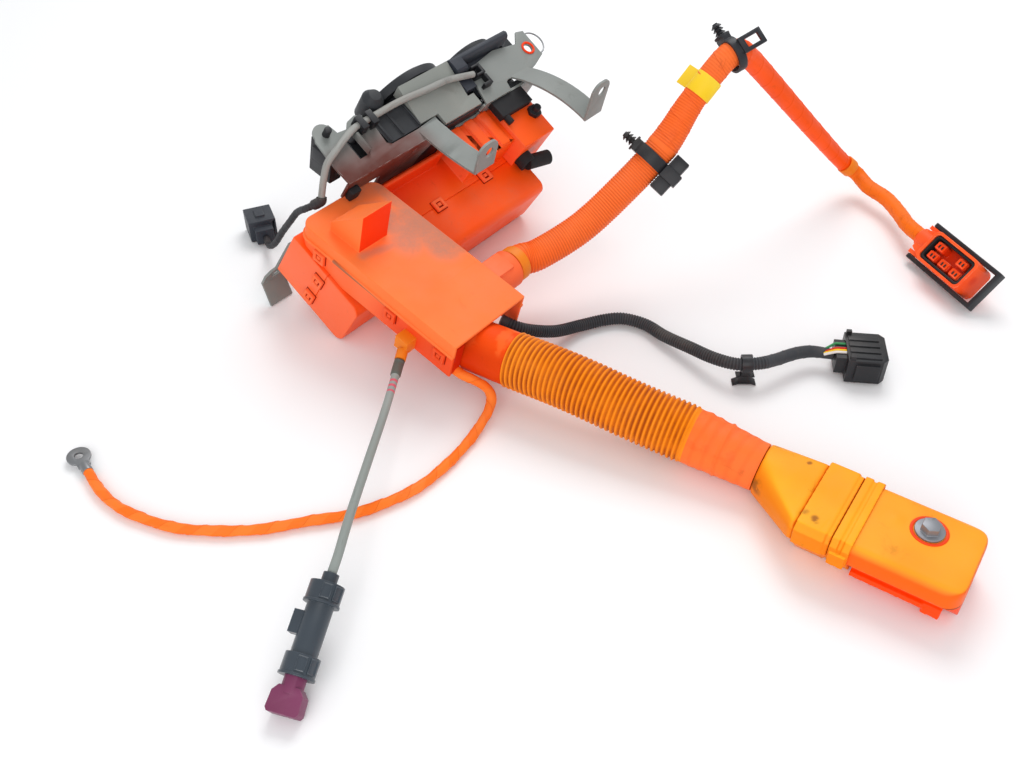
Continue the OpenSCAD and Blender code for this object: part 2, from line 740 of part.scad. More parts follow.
module snap_loop() {
    difference() {
        box([-3, -5.5, -7], [0, 5.5, 3]);
        box([-3.5, -2.8, -4.5], [-1, 2.8, 1]);
    }
}

module snap_clips() color([0.93, 0.32, 0.15]) placed() {
    on_duct() {
        for (n = [12, 62, 137])
            translate([0, n, -cover_h - 3.5]) snap_loop();
        for (n = [72, 120])
            translate([duct_w, n, -cover_h - 3.5]) mirror([1, 0, 0]) snap_loop();
    }
    on_head() {
        for (u = [123, 181])
            translate([u, seam_m - 2.5, house_v1]) rotate([0, 90, 0]) rotate([90, 0, 0]) snap_loop();
        for (v = [-55, -80])
            translate([house_u0, seam_m + 2, v]) rotate([90, 0, 0]) snap_loop();
    }
}

module outlet_nozzle() color([0.94, 0.36, 0.18]) placed() on_duct() {
    rod_u(outlet_n, outlet_w, outlet_d / 2, duct_w, duct_w + outlet_len);
    box([duct_w, outlet_n - 9, outlet_w - 15.8], [duct_w + 18, outlet_n + 9, outlet_w + 15.8]);
}

module drain_nozzle() color([0.10, 0.10, 0.11]) placed() on_head() {
    rod_m(box_u0 + 8, -31, 8, box_m0 - 9, box_m0);
    translate([box_u0 + 8, box_m0 - 7, -31]) rotate([0, 90, -14]) cylinder(h = 24, r = 6.5);
}

module housing_studs() color([0.12, 0.12, 0.13]) placed() on_head() {
    translate([stud_u, stud_m, box_v1]) cylinder(h = 4, r = 6.5, $fn = 6);
    translate([stud_u, stud_m, box_v1 + 4]) cylinder(h = 5, r = 3.4);
}

// Release cable
module release_clip() color([0.92, 0.55, 0.20]) placed() {
    on_duct() box([-10, release_n - 6, release_w - 6], [0, release_n + 6, release_w + 6]);
    aim([-9, 45.2, 39.4], release_pts[0]) translate([0, 0, 1]) cylinder(h = 8.2, r = 4.2);
}

module release_cable() color([0.65, 0.67, 0.65]) placed()
    cord(release_pts, same(release_pts, release_d), 10);

module release_housing() color([0.10, 0.11, 0.12]) placed() on_pull()
    difference() {
        union() {
            rod_u(0, 0, 5, 0.3, pull_neck_w);
            rod_u(0, 0, neck_d / 2 + 1.5, pull_neck_w, pull_len);
            for (x = [pull_neck_w, pull_len - pull_collar_w]) {
                rod_u(0, 0, neck_d / 2 + 4, x, x + pull_collar_w);
                rod_u(0, 0, neck_d / 2 + 4.6, x + pull_collar_w - 1.5, x + pull_collar_w);
            }
            box([26, -13.5, -4], [40, -5, 4]);
        }
        rod_u(0, 0, neck_d / 2 + neck_clear, 29, pull_len + 1);
        rod_u(0, 0, 2, -1, 30);
    }

module pull_toggle() color([0.42, 0.14, 0.28]) placed() on_pull() {
    rod_u(0, 0, neck_d / 2, 32, pull_len + 10);
    translate([pull_len, 0, -6])
        linear_extrude(12)
            polygon([[6, -6.5], [10, -9.8], [20, -10.4], [22, -9], [22, 9], [20, 10.4], [10, 9.8], [6, 6.5]]);
}

// DC branch
module dc_collar() color([0.92, 0.42, 0.20]) placed()
    aim(dc_pts[0], dc_pts[1])
        difference() {
            translate([0, 0, -collar_len - 0.3]) cylinder(h = collar_len, r = 20.5);
            translate([0, 0, -collar_len - 1]) cylinder(h = 22, r = 17);
        }

// Ribbed tube, a crest and a groove by turns, then its taped and narrowing end
module dc_conduit() color([0.95, 0.55, 0.16]) placed() {
    n = 2 * dc_rib_count;
    r = dc_conduit_d / 2;
    t = concat([for (i = [0:n - 1]) i * dc_ribbed / n], [for (q = dc_taped) q[0]]);
    radii = concat([for (i = [0:n - 1]) i % 2 == 0 ? r : r - dc_rib_h], [for (q = dc_taped) q[1] * r]);
    cord([for (k = t) on_line(dc_pts, k)], radii, 16);
}

// Section of the DC connector across its length, drawn in x and height
module dc_section(g) {
    w = dc_plug_w / 2 + g;
    h = dc_plug_h + g;
    polygon([[-w, h - 5], [-w + 5, h], [w - 5, h], [w, h - 5], [w, 20], [w - 6, max(0, 2 - g)],
        [-w + 19, max(0, 2 - g)], [-w + 4, 21], [-w, 24]]);
}

module along_y(a, b) translate([0, b, 0]) rotate([90, 0, 0]) linear_extrude(b - a) children();

module dc_boot() color([0.93, 0.56, 0.18]) placed()
    hull() {
        aim(dc_pts[4], dc_pts[4] + dc_pts[4] - dc_pts[3])
            translate([0, 0, 0.3]) cylinder(h = 2, r = dc_end_r + 0.6, $fn = 32);
        on_dc_plug() along_y(sleeve_y1 + 0.1, sleeve_y1 + 3) dc_section(0);
    }

module dc_clamp_sleeve() color([0.93, 0.52, 0.18]) placed() on_dc_plug() {
    along_y(sleeve_y0, sleeve_y1) dc_section(2);
    along_y(strap_y1 + 0.5, sleeve_y0) dc_section(1);
}

module dc_strap() color([0.92, 0.50, 0.16]) placed() on_dc_plug() {
    difference() {
        union() {
            along_y(strap_y0, strap_y0 + 5) dc_section(2);
            along_y(strap_y0 + 5, strap_y1 - 5) dc_section(1);
            along_y(strap_y1 - 5, strap_y1) dc_section(2);
        }
        along_y(strap_y0 - 1, strap_y1 + 1) dc_section(0.1);
    }
    box([-dc_plug_w / 2 - 4, strap_y0 + 1, 22], [-dc_plug_w / 2 - 2, strap_y1 - 1, 32]);
}

module dc_connector_body() color([0.95, 0.60, 0.20]) placed() on_dc_plug()
    difference() {
        union() {
            intersection() {
                along_y(-66, strap_y1 + 0.4) dc_section(0);
                along_v(-1, 60) {
                    translate([0, -22]) rrect(dc_plug_w, 82, 13);
                    translate([-dc_plug_w / 2, -20]) square([dc_plug_w, 60]);
                }
            }
            translate([8, -8, dc_plug_h - 1]) cylinder(h = 2, r = 3);
            box([-dc_plug_w / 2 + 3.5, -54, 8], [-dc_plug_w / 2 + 18, -42, 17]);
            box([-dc_plug_w / 2 + 2, -42, 13], [-dc_plug_w / 2 + 12, 4, 17]);
        }
        translate([bolt_x, bolt_y, -1]) cylinder(h = 60, r = bolt_d / 2 + bolt_clear);
        translate([bolt_x, bolt_y, -1]) cylinder(h = 14, r = bolt_d / 2 + 4);
    }

module dc_bolt() color([0.72, 0.73, 0.74]) placed() on_dc_plug() translate([bolt_x, bolt_y, 0]) {
    translate([0, 0, 6]) cylinder(h = dc_plug_h - 6 + 1, r = bolt_d / 2);
    translate([0, 0, dc_plug_h + 0.1]) cylinder(h = 1.6, r = 9.5);
    translate([0, 0, dc_plug_h + 1.5]) cylinder(h = 5.5, r = bolt_flats / sqrt(3), $fn = 6);
}

// AC branch
module ac_conduit() color([0.96, 0.42, 0.16]) placed()
    cord(ac_pts, ac_radii, 12);

module sleeve_on(p, q, r_in, r_out, a, b)
    aim(p, q)
        difference() {
            translate([0, 0, a]) cylinder(h = b - a, r = r_out);
            translate([0, 0, a - 1]) cylinder(h = b - a + 2, r = r_in);
        }

module ac_bands() color([0.85, 0.50, 0.15]) placed() {
    sleeve_on(ac_pts[0], ac_pts[1], ac_conduit_d / 2 + 0.3, ac_conduit_d / 2 + 1.6, 1, 10);
    sleeve_on(ac_pts[12], ac_pts[13], ac_lead_d / 2 + 0.5, ac_lead_d / 2 + 2, 5, 14);
}

module fir_clips() color([0.09, 0.09, 0.10]) placed() {
    aim(ac_pts[4], ac_pts[5]) translate([0, 0, 31]) rotate([0, 0, -50]) {
        fir_clip(ac_conduit_d / 2, 5, 0.4);
        r = ac_conduit_d / 2;
        box([r + 1, -9.5, -5], [r + 4.5, 9.5, 5]);
        for (y = [-9.5, -3.5, 1.5, 7.5])
            box([r + 4, y, -5], [r + 16, y + 2, 5]);
        for (y = [-9.5, 1.5])
            box([r + 13.5, y, -5], [r + 16, y + 8, -1]);
    }
    aim(ac_pts[7], ac_pts[8]) translate([0, 0, 9]) rotate([0, 0, -50]) {
        fir_clip(ac_mid_d / 2, 3.5, 2);
        r = ac_mid_d / 2 + 3;
        difference() {
            box([-6.5, -r - 3, 2], [6.5, -r, 22]);
            box([-3.5, -r - 4, 6.5], [3.5, -r + 1, 18.5]);
        }
    }
}

module fir_clip(r, w, gap) {
    difference() {
        union() {
            translate([0, 0, -w]) cylinder(h = 2 * w, r = r + gap + 2);
            translate([-r - gap - 4, -7, -w]) cube([6, 14, 2 * w]);
        }
        translate([0, 0, -w - 2]) cylinder(h = 2 * w + 4, r = r + gap);
    }
    translate([-r - gap - 4, 0, 0]) rotate([0, -90, 0]) {
        cylinder(h = 12, r = 2.2);
        cylinder(h = 1.5, r = 6.5);
        for (k = [0:2])
            translate([0, 0, 3 + 3 * k]) cylinder(h = 2, r1 = 4.6, r2 = 2.8);
    }
}

module ac_tag() color([0.95, 0.80, 0.20]) placed()
    aim(ac_pts[6], ac_pts[7]) {
        difference() {
            translate([0, 0, 5]) cylinder(h = 17, r = ac_mid_d / 2 + 0.9);
            translate([0, 0, 4]) cylinder(h = 19, r = ac_mid_d / 2 + 0.3);
        }
        translate([-0.4, ac_mid_d / 2 + 0.5, 5]) cube([0.8, 15, 17]);
    }

module ac_connector_body() color([0.95, 0.36, 0.18]) placed() on_ac_plug()
    difference() {
        union() {
            difference() {
                translate([ac_face_x, 0, -9]) linear_extrude(27) rrect(ac_plug_len, ac_plug_w, 6);
                translate([ac_face_x, 0, 6]) linear_extrude(13)
                    rrect(ac_plug_len - 5, ac_plug_w - 5, 4);
            }
            translate([0, 0, 5.9]) at_carriers() linear_extrude(8.5) rrect(10.5, 7.2, 1.5);
            translate([ac_face_x - ac_plug_len / 2, 0, -8])
                linear_extrude(17)
                    polygon([[2, -ac_plug_w / 2], [0, -ac_plug_w / 2], [-7, -11.5], [-14, -9],
                        [-14, 9], [-7, 11.5], [0, ac_plug_w / 2], [2, ac_plug_w / 2]]);
            box([-40, -ac_plug_w / 2, -4], [-22, -ac_plug_w / 2 + 3.5, 4]);
            box([-40, ac_plug_w / 2 - 3.5, -4], [-22, ac_plug_w / 2, 4]);
            rod_u(neck_c, neck_n, ac_lead_d / 2 + 2.4, -39.5, -22);
        }
        for (s = [-1, 1])
            translate([lever_pivot, s * ac_plug_w / 2, 0]) rotate([90, 0, 0])
                cylinder(h = 5, r = pivot_d / 2 + pin_clear, center = true);
    }

module at_carriers()
    for (p = [[-13.5, 4.6], [12, 4.6], [-13.5, -4.8], [0, -4.8], [13.5, -4.8]])
        translate([ac_face_x + p[0], p[1], 0]) children();

module ac_connector_seal() color([0.10, 0.10, 0.11]) placed() on_ac_plug()
    translate([ac_face_x, 0, 6])
        linear_extrude(11)
            difference() {
                rrect(ac_plug_len - 5.6, ac_plug_w - 5.6, 3.7);
                rrect(ac_plug_len - 10, ac_plug_w - 10, 2.5);
            }

module ac_lever() color([0.07, 0.07, 0.08]) placed() on_ac_plug() {
    w = ac_plug_w / 2 + lever_clear;
    e = lever_pivot + lever_len;
    for (s = [0, 1]) mirror([0, s, 0]) {
        box([lever_pivot, w, -4], [e, w + lever_t, 4]);
        translate([lever_pivot, w + lever_t, 0]) rotate([90, 0, 0]) cylinder(h = lever_t, r = 4);
        translate([lever_pivot, w + 0.1, 0]) rotate([90, 0, 0]) cylinder(h = 2, r = pivot_d / 2);
    }
    box([e, -w - lever_t, -4], [e + 4, w + lever_t, 4]);
}

// Signal branch
module signal_conduit() color([0.12, 0.12, 0.13]) placed()
    cord(signal_pts, same(signal_pts, signal_d), 8);

module signal_clip() color([0.08, 0.08, 0.09]) placed() {
    c = (signal_pts[11] + signal_pts[12]) / 2;
    sleeve_on(c, signal_pts[12], signal_d / 2 + 0.4, signal_d / 2 + 2.2, -4, 4);
    translate([c[0], c[1], 0]) rotate([0, 0, -50]) {
        top = c[2] - signal_d / 2 - 1;
        rotate([90, 0, 0]) translate([0, 0, -2.5])
            linear_extrude(5) polygon([[-3, top], [3, top], [4.5, 2], [-4.5, 2]]);
        box([-7, -3, 8], [7, 3, 9]);
        rotate([90, 0, 0]) translate([0, 0, -3.5])
            linear_extrude(7)
                polygon([[-9, 0], [-9, 1], [-5, 3], [5, 3], [9, 1], [9, 0], [5, 1.5], [-5, 1.5]]);
    }
}

module signal_connector() color([0.11, 0.11, 0.12]) placed()
    translate(signal_plug_p) rotate([0, 0, signal_plug_yaw]) {
        translate([0, 0, 1.5])
            linear_extrude(21.5)
                polygon([[-15, -17], [11, -17], [15, -13], [15, 13], [11, 17], [-15, 17]]);
        for (y = [-14, -7, 0, 7])
            box([-13, y, 23], [10, y + 5, 24]);
        for (y = [-19, 17])
            box([-9, y, 5], [9, y + 2, 20]);
        for (y = [-16.5, 13.5])
            box([-14, y, 23], [-10, y + 3, 26.5]);
        box([-22.9, -11, 5], [-15, 11, 20]);
    }

// Ground branch
module ground_wire() color([0.96, 0.50, 0.18]) placed()
    cord(ground_pts, same(ground_pts, ground_d), 10);

module ring_terminal() color([0.70, 0.70, 0.70]) placed()
    translate(ring_p) rotate([0, 0, ring_yaw])
        difference() {
            union() {
                rod_u(0, 0, ground_d / 2, 0.3, 9);
                translate([7, -4.5, -1]) cube([9, 9, 2]);
                translate([19, 0, -1]) cylinder(h = 2, r = 8.5);
            }
            translate([19, 0, -2]) cylinder(h = 4, r = ring_hole_d / 2);
        }

// Inlet lead
module inlet_lead() color([0.60, 0.61, 0.62]) placed()
    cord(lead_pts, same(lead_pts, lead_d), 8, [0, 1, 0]);

module lead_tail() color([0.10, 0.10, 0.11]) placed()
    cord(tail_pts, same(tail_pts, lead_d + 0.5), 8, [1, 0, 0]);

module lead_connector() color([0.13, 0.14, 0.16]) placed()
    translate(lead_plug_p) rotate([0, 0, lead_plug_yaw]) {
        box([0.3, -8, 2], [8, 8, 16]);
        box([8, -12, 1], [32, 12, 21]);
        box([14, -4, 21], [26, 4, 23]);
    }

front_plate();
left_bracket();
right_bracket();
foot_bracket();
dc_inlet_shell();
dc_contact_block();
dc_pins();
ac_inlet_shell();
ac_contact_block();
ac_pins();
inlet_screws();
dc_cap();
ac_cap();
hinge_pins();
lock_actuator();
lock_pin();
inlet_hood();
hinge_surround();
rubber_mount();
rubber_buffer();
wire_loop();
cable_holder();
cable_clips();
box_connector();
front_shell();
rear_cover();
ac_rear_housing();
duct_tray();
duct_cover();
snap_clips();
outlet_nozzle();
drain_nozzle();
housing_studs();
release_clip();
release_cable();
release_housing();
pull_toggle();
dc_collar();
dc_conduit();
dc_boot();
dc_clamp_sleeve();
dc_strap();
dc_connector_body();
dc_bolt();
ac_conduit();
ac_bands();
fir_clips();
ac_tag();
ac_connector_body();
ac_connector_seal();
ac_lever();
signal_conduit();
signal_clip();
signal_connector();
ground_wire();
ring_terminal();
inlet_lead();
lead_tail();
lead_connector();
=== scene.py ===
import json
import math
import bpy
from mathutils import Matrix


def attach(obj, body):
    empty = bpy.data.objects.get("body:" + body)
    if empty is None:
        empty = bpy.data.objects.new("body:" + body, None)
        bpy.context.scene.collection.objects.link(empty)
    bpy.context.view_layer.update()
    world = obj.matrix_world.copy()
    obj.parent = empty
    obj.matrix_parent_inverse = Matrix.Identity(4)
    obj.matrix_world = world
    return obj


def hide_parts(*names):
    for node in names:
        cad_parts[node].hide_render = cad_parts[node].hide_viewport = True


bl_info = {
    "name": "Charging Socket Dresser",
    "version": (1, 0, 0),
    "blender": (4, 5, 0),
    "location": "View3D > Sidebar > Charging Socket",
    "description": "Dresses the packed charging socket with moulded, corrugated and metal finishes",
    "category": "Object",
}

import bmesh
import bpy
from bpy.props import FloatProperty, FloatVectorProperty, IntProperty, PointerProperty
from mathutils import Matrix, Vector

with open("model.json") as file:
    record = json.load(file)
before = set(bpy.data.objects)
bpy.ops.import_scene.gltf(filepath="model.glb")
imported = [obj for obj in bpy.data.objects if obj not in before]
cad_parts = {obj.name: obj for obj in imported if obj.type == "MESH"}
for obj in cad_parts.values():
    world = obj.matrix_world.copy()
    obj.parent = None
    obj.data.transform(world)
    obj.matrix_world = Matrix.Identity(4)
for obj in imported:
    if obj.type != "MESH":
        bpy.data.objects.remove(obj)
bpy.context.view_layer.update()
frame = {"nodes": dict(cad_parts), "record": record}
NODES = frame["nodes"]
BODY_OF = {n: b for b, ns in frame["record"]["behaviour"]["bodies"].items() for n in ns}

FLOAT = "NodeSocketFloat"
EDGE_ANGLE = 38  # degrees, faces that meet at less are shaded as one
TUBE_ANGLE = 60  # the same on round and softened pieces
FLAT_ANGLE = 0.6  # degrees, facets of a CAD solid that are one flat face
MERGE_WITHIN = 0.000004  # metres, corners of a CAD solid that are one
FINE_STEPS = 24  # points between two of a route, before they are shared out evenly
WIDE_EDGE = 0.001  # metres, roundings over this get a third step


def shift(x, y, z):
    return Matrix.Translation((x, y, z))


def turned(degrees, axis):
    return Matrix.Rotation(math.radians(degrees), 4, axis)


def on_bench(route):
    return [BENCH @ Vector(p) for p in route]


# Frames of the drawing, in metres
BENCH = shift(-0.141, -0.117, 0)
DUCT = BENCH @ shift(0, 0, 0.0593) @ turned(14.5, "X")
HEAD = DUCT @ shift(0, 0.161, 0.025) @ turned(18, "X")
DC_PLUG = BENCH @ shift(0.066, -0.3, 0) @ turned(6.6, "Z")
AC_PLUG = BENCH @ shift(0.38, -0.218, 0.0185) @ turned(-116.8, "Z") @ turned(47, "X")
SIGNAL_PLUG = BENCH @ shift(0.232, -0.212, 0) @ turned(-56.5, "Z")
PULL = BENCH @ shift(-0.1846, -0.064, 0.0391) @ turned(203.4, "Z") @ turned(22, "Y")

# Routes of the cords, as in the drawing, in metres on the bench
DC_ROUTE = [
    (0.038, -0.023, 0.0355), (0.046, -0.070, 0.035), (0.055, -0.117, 0.030),
    (0.066, -0.165, 0.0245), (0.074, -0.212, 0.020),
]
AC_ROUTE = [
    (0.105, 0.038, 0.052), (0.119, 0.038, 0.052), (0.134, 0.031, 0.0525),
    (0.170, 0.016, 0.066), (0.2055, 0.002, 0.091), (0.237, -0.011, 0.120),
    (0.2635, -0.017, 0.150), (0.289, -0.026, 0.177), (0.301, -0.031, 0.181),
    (0.313, -0.035, 0.173), (0.341, -0.044, 0.144), (0.392, -0.063, 0.088),
    (0.440, -0.080, 0.037), (0.453, -0.092, 0.022), (0.446, -0.108, 0.018),
    (0.438, -0.130, 0.018), (0.422, -0.150, 0.019), (0.408, -0.164, 0.0205),
    (0.3973, -0.1813, 0.0216),
]
SIGNAL_ROUTE = [
    (0.066, 0.014, 0.036), (0.072, 0.004, 0.031), (0.083, -0.003, 0.024),
    (0.104, -0.011, 0.014), (0.129, -0.017, 0.007), (0.148, -0.027, 0.006),
    (0.159, -0.038, 0.006), (0.164, -0.056, 0.006), (0.160, -0.077, 0.008),
    (0.157, -0.102, 0.012), (0.154, -0.124, 0.016), (0.156, -0.143, 0.019),
    (0.166, -0.156, 0.020), (0.180, -0.163, 0.018), (0.198, -0.170, 0.016),
    (0.211, -0.178, 0.014), (0.220, -0.192, 0.013),
]
GROUND_ROUTE = [
    (0.008, 0.014, 0.028), (0.0105, 0.002, 0.0245), (0.014, -0.009, 0.0215),
    (0.0145, -0.019, 0.0175), (0.007, -0.025, 0.011), (-0.016, -0.030, 0.005),
    (-0.045, -0.034, 0.004), (-0.075, -0.034, 0.004), (-0.099, -0.028, 0.004),
    (-0.125, -0.016, 0.004), (-0.148, 0.002, 0.004), (-0.174, 0.022, 0.004),
    (-0.194, 0.044, 0.004), (-0.211, 0.070, 0.004), (-0.222, 0.106, 0.004),
    (-0.222, 0.132, 0.004), (-0.217, 0.154, 0.004),
]
RELEASE_ROUTE = [
    (-0.017, 0.041, 0.0365), (-0.023, 0.0379, 0.0346), (-0.060, 0.0135, 0.036),
    (-0.105, -0.0152, 0.040), (-0.150, -0.044, 0.044), (-0.1744, -0.0596, 0.0436),
    (-0.1846, -0.064, 0.0391),
]
LEAD_ROUTE = [
    (0.2044, 0.1598, 0.1376), (0.176, 0.162, 0.143), (0.150, 0.1635, 0.144),
    (0.124, 0.166, 0.1445), (0.099, 0.1682, 0.1426), (0.076, 0.1681, 0.1416),
    (0.058, 0.163, 0.140), (0.045, 0.159, 0.1375), (0.036, 0.159, 0.1315),
    (0.031, 0.1595, 0.120), (0.027, 0.160, 0.106),
]
TAIL_ROUTE = [
    (0.0269, 0.160, 0.1057), (0.0261, 0.1601, 0.1028), (0.025, 0.166, 0.098),
    (0.025, 0.178, 0.089), (0.028, 0.194, 0.077), (0.030, 0.208, 0.061),
    (0.032, 0.224, 0.042), (0.034, 0.239, 0.023), (0.039, 0.255, 0.010),
    (0.046, 0.268, 0.008),
]


def paint(red, green, blue):
    """A colour of the object, 0 to 255 as seen, as Blender's linear colour."""
    def part(c):
        c /= 255
        return c / 12.92 if c <= 0.04045 else ((c + 0.055) / 1.055) ** 2.4

    return (part(red), part(green), part(blue))


def tone(value):
    """A colour by its name in the panel or by its numbers as seen."""
    if isinstance(value, str):
        return getattr(bpy.context.scene.socket_colours, value)
    return paint(*value)


def size_field(label, means, metres):
    return FloatProperty(name=label, description=means, default=metres, unit="LENGTH")


def colour_field(label, means, *seen):
    return FloatVectorProperty(name=label, description=means, subtype="COLOR", default=paint(*seen))


class SocketSizes(bpy.types.PropertyGroup):
    dc_conduit: size_field("DC conduit", "Outside of the large corrugated conduit", 0.043)
    dc_pitch: size_field("DC rib pitch", "Distance between ribs of the large conduit", 0.0039)
    ac_conduit: size_field("AC conduit", "Outside of the AC conduit where it is corrugated", 0.0255)
    ac_pitch: size_field("AC rib pitch", "Distance between ribs of the AC conduit", 0.0022)
    signal_conduit: size_field("Signal conduit", "Outside of the black conduit", 0.010)
    signal_pitch: size_field("Signal rib pitch", "Distance between ribs of the black conduit", 0.0022)
    ground_wire: size_field("Ground wire", "Outside of the taped ground wire", 0.0075)
    release_cable: size_field("Release cable", "Outside of the release cable", 0.006)
    inlet_lead: size_field("Inlet lead", "Outside of the grey inlet lead", 0.0055)
    moulding_edge: size_field("Moulding edge", "Rounding of the edges of the orange mouldings", 0.0014)
    sheet_edge: size_field("Sheet edge", "Rounding of the edges of the pressed sheet", 0.0005)
    around: IntProperty(
        name="Sides", description="Corners round the large conduit", default=56, min=24, max=96)


class SocketColours(bpy.types.PropertyGroup):
    housing: colour_field("Housing", "Orange of the housing shells", 252, 84, 14)
    duct: colour_field("Duct", "Orange of the duct cover", 255, 116, 52)
    tray: colour_field("Tray", "Salmon orange of the duct tray", 255, 106, 54)
    conduit: colour_field("Conduit", "Amber of the large conduit", 250, 138, 12)
    boot: colour_field("Boot", "Amber of the DC connector's boot", 253, 176, 34)
    ac_sheath: colour_field("AC sheath", "Orange of the AC conduit", 254, 110, 40)
    steel: colour_field("Bracket", "Grey coat of the bracket", 130, 134, 131)
    black: colour_field("Black plastic", "Black of inlets, clips and plugs", 40, 42, 46)
    dust: colour_field("Dust", "Road dust on upward faces", 150, 136, 124)
    pull: colour_field("Pull", "Maroon of the release pull", 112, 48, 80)
    tag: colour_field("Tag", "Yellow of the blank tag", 248, 206, 28)


# Shader building


def put(tree, kind, feed=None, **settings):
    """A node with its settings, its sockets fed by name or number with a value or a link."""
    node = tree.nodes.new(kind)
    for key, value in settings.items():
        setattr(node, key, value)
    for key, value in (feed or {}).items():
        if isinstance(value, bpy.types.NodeSocket):
            tree.links.new(value, node.inputs[key])
        else:
            node.inputs[key].default_value = value
    return node


def blend(tree, amount, first, second):
    """The first colour with the second laid over it by the amount."""
    def whole(value):
        return value if isinstance(value, bpy.types.NodeSocket) else (*value, 1)

    feed = {0: amount, 6: whole(first), 7: whole(second)}
    return put(tree, "ShaderNodeMix", feed, data_type="RGBA").outputs[2]


def sums(tree, how, first, second, clamp=False):
    return put(tree, "ShaderNodeMath", {0: first, 1: second}, operation=how, use_clamp=clamp).outputs[0]


def times(tree, first, *others, clamp=False):
    """The product, held within 0 and 1 where asked."""
    for other in others[:-1]:
        first = sums(tree, "MULTIPLY", first, other)
    return sums(tree, "MULTIPLY", first, others[-1], clamp)


def spread(tree, value, low, high, to_low=0.0, to_high=1.0):
    """The value's way from low to high, eased and stretched to another range."""
    return put(tree, "ShaderNodeMapRange", {0: value, 1: low, 2: high, 3: to_low, 4: to_high},
               interpolation_type="SMOOTHSTEP").outputs[0]


def vectors(tree, how, first, second):
    """Vector maths, with a number out for a dot product or a distance."""
    node = put(tree, "ShaderNodeVectorMath", {0: first, 1: second}, operation=how)
    return node.outputs["Value" if how in ("DOT_PRODUCT", "DISTANCE") else "Vector"]


def here(tree):
    return put(tree, "ShaderNodeTexCoord").outputs["Object"]


def normal(tree):
    return put(tree, "ShaderNodeNewGeometry").outputs["Normal"]


def part_z(tree, vector):
    return put(tree, "ShaderNodeSeparateXYZ", {0: vector}).outputs["Z"]


def noise(tree, place, scale, detail, **more):
    feed = {"Vector": place, "Scale": scale, "Detail": detail, **more}
    return put(tree, "ShaderNodeTexNoise", feed).outputs[0]


def settled_dust(tree, given):
    """Dust that lies on faces that look up, in clouds with fine grains."""
    place = here(tree)
    clouds = spread(tree, noise(tree, place, given["Scale"], 5.0, Roughness=0.62), 0.42, 0.72)
    up = spread(tree, part_z(tree, normal(tree)), 0.1, 0.95, 0.25, 1.0)
    grains = spread(tree, noise(tree, place, 900.0, 2.0), 0.3, 0.62, 0.55, 1.0)
    return [times(tree, clouds, up, grains, given["Amount"], clamp=True)]


def worn_edges(tree, given):
    """Edges rubbed lighter, broken up by noise."""
    soft = put(tree, "ShaderNodeBevel", {"Radius": given["Radius"]}, samples=4).outputs[0]
    edge = spread(tree, vectors(tree, "DOT_PRODUCT", soft, normal(tree)), 0.985, 0.86)
    patches = spread(tree, noise(tree, here(tree), 160.0, 4.0), 0.42, 0.62)
    return [times(tree, edge, patches, given["Amount"], clamp=True)]


def grime_spots(tree, given):
    """Dark rubbed spots and small specks."""
    place = here(tree)
    stains = noise(tree, place, given["Scale"], 6.0, Roughness=0.7, Distortion=0.6)
    specks = put(tree, "ShaderNodeTexVoronoi", {"Vector": place, "Scale": 210.0}).outputs["Distance"]
    specks = times(tree, spread(tree, specks, 0.12, 0.05, 0.0, 0.5), spread(tree, stains, 0.45, 0.6))
    mask = sums(tree, "MAXIMUM", spread(tree, stains, 0.60, 0.74), specks)
    return [times(tree, mask, given["Amount"], clamp=True)]


def mould_grain(tree, given):
    """Fine pebble of a moulded or cast face, with scratches."""
    place = here(tree)
    pebble = noise(tree, place, given["Scale"], 3.0)
    stretched = put(tree, "ShaderNodeMapping",
                    {"Vector": place, "Rotation": (0.3, 0.5, 0.7), "Scale": (14.0, 300.0, 300.0)})
    scratch = spread(tree, noise(tree, stretched.outputs[0], 1.0, 3.0), 0.66, 0.74)
    lines = times(tree, scratch, given["Scratches"])
    broad = noise(tree, place, 30.0, 4.0)
    return [sums(tree, "SUBTRACT", pebble, lines), sums(tree, "ADD", broad, lines)]


def colour_drift(tree, given):
    """Slow change of tint over a piece."""
    return [spread(tree, noise(tree, here(tree), given["Scale"], 3.0), 0.35, 0.68)]


GROUPS = {}


def prepare_groups():
    """The shader groups that the finishes share."""
    for name, build, inputs, outputs in (
        ("Settled dust", settled_dust, {"Scale": 18.0, "Amount": 0.4}, ("Mask",)),
        ("Worn edges", worn_edges, {"Radius": 0.001, "Amount": 0.5}, ("Mask",)),
        ("Grime spots", grime_spots, {"Scale": 45.0, "Amount": 0.5}, ("Mask",)),
        ("Mould grain", mould_grain, {"Scale": 1400.0, "Scratches": 0.3}, ("Height", "Shine")),
        ("Colour drift", colour_drift, {"Scale": 9.0}, ("Mask",)),
    ):
        tree = bpy.data.node_groups.new(name, "ShaderNodeTree")
        for label, value in inputs.items():
            socket = tree.interface.new_socket(name=label, in_out="INPUT", socket_type=FLOAT)
            socket.default_value = value
        for label in outputs:
            tree.interface.new_socket(name=label, in_out="OUTPUT", socket_type=FLOAT)
        given = tree.nodes.new("NodeGroupInput").outputs
        out = tree.nodes.new("NodeGroupOutput")
        for label, link in zip(outputs, build(tree, given)):
            tree.links.new(link, out.inputs[label])
        GROUPS[name] = tree


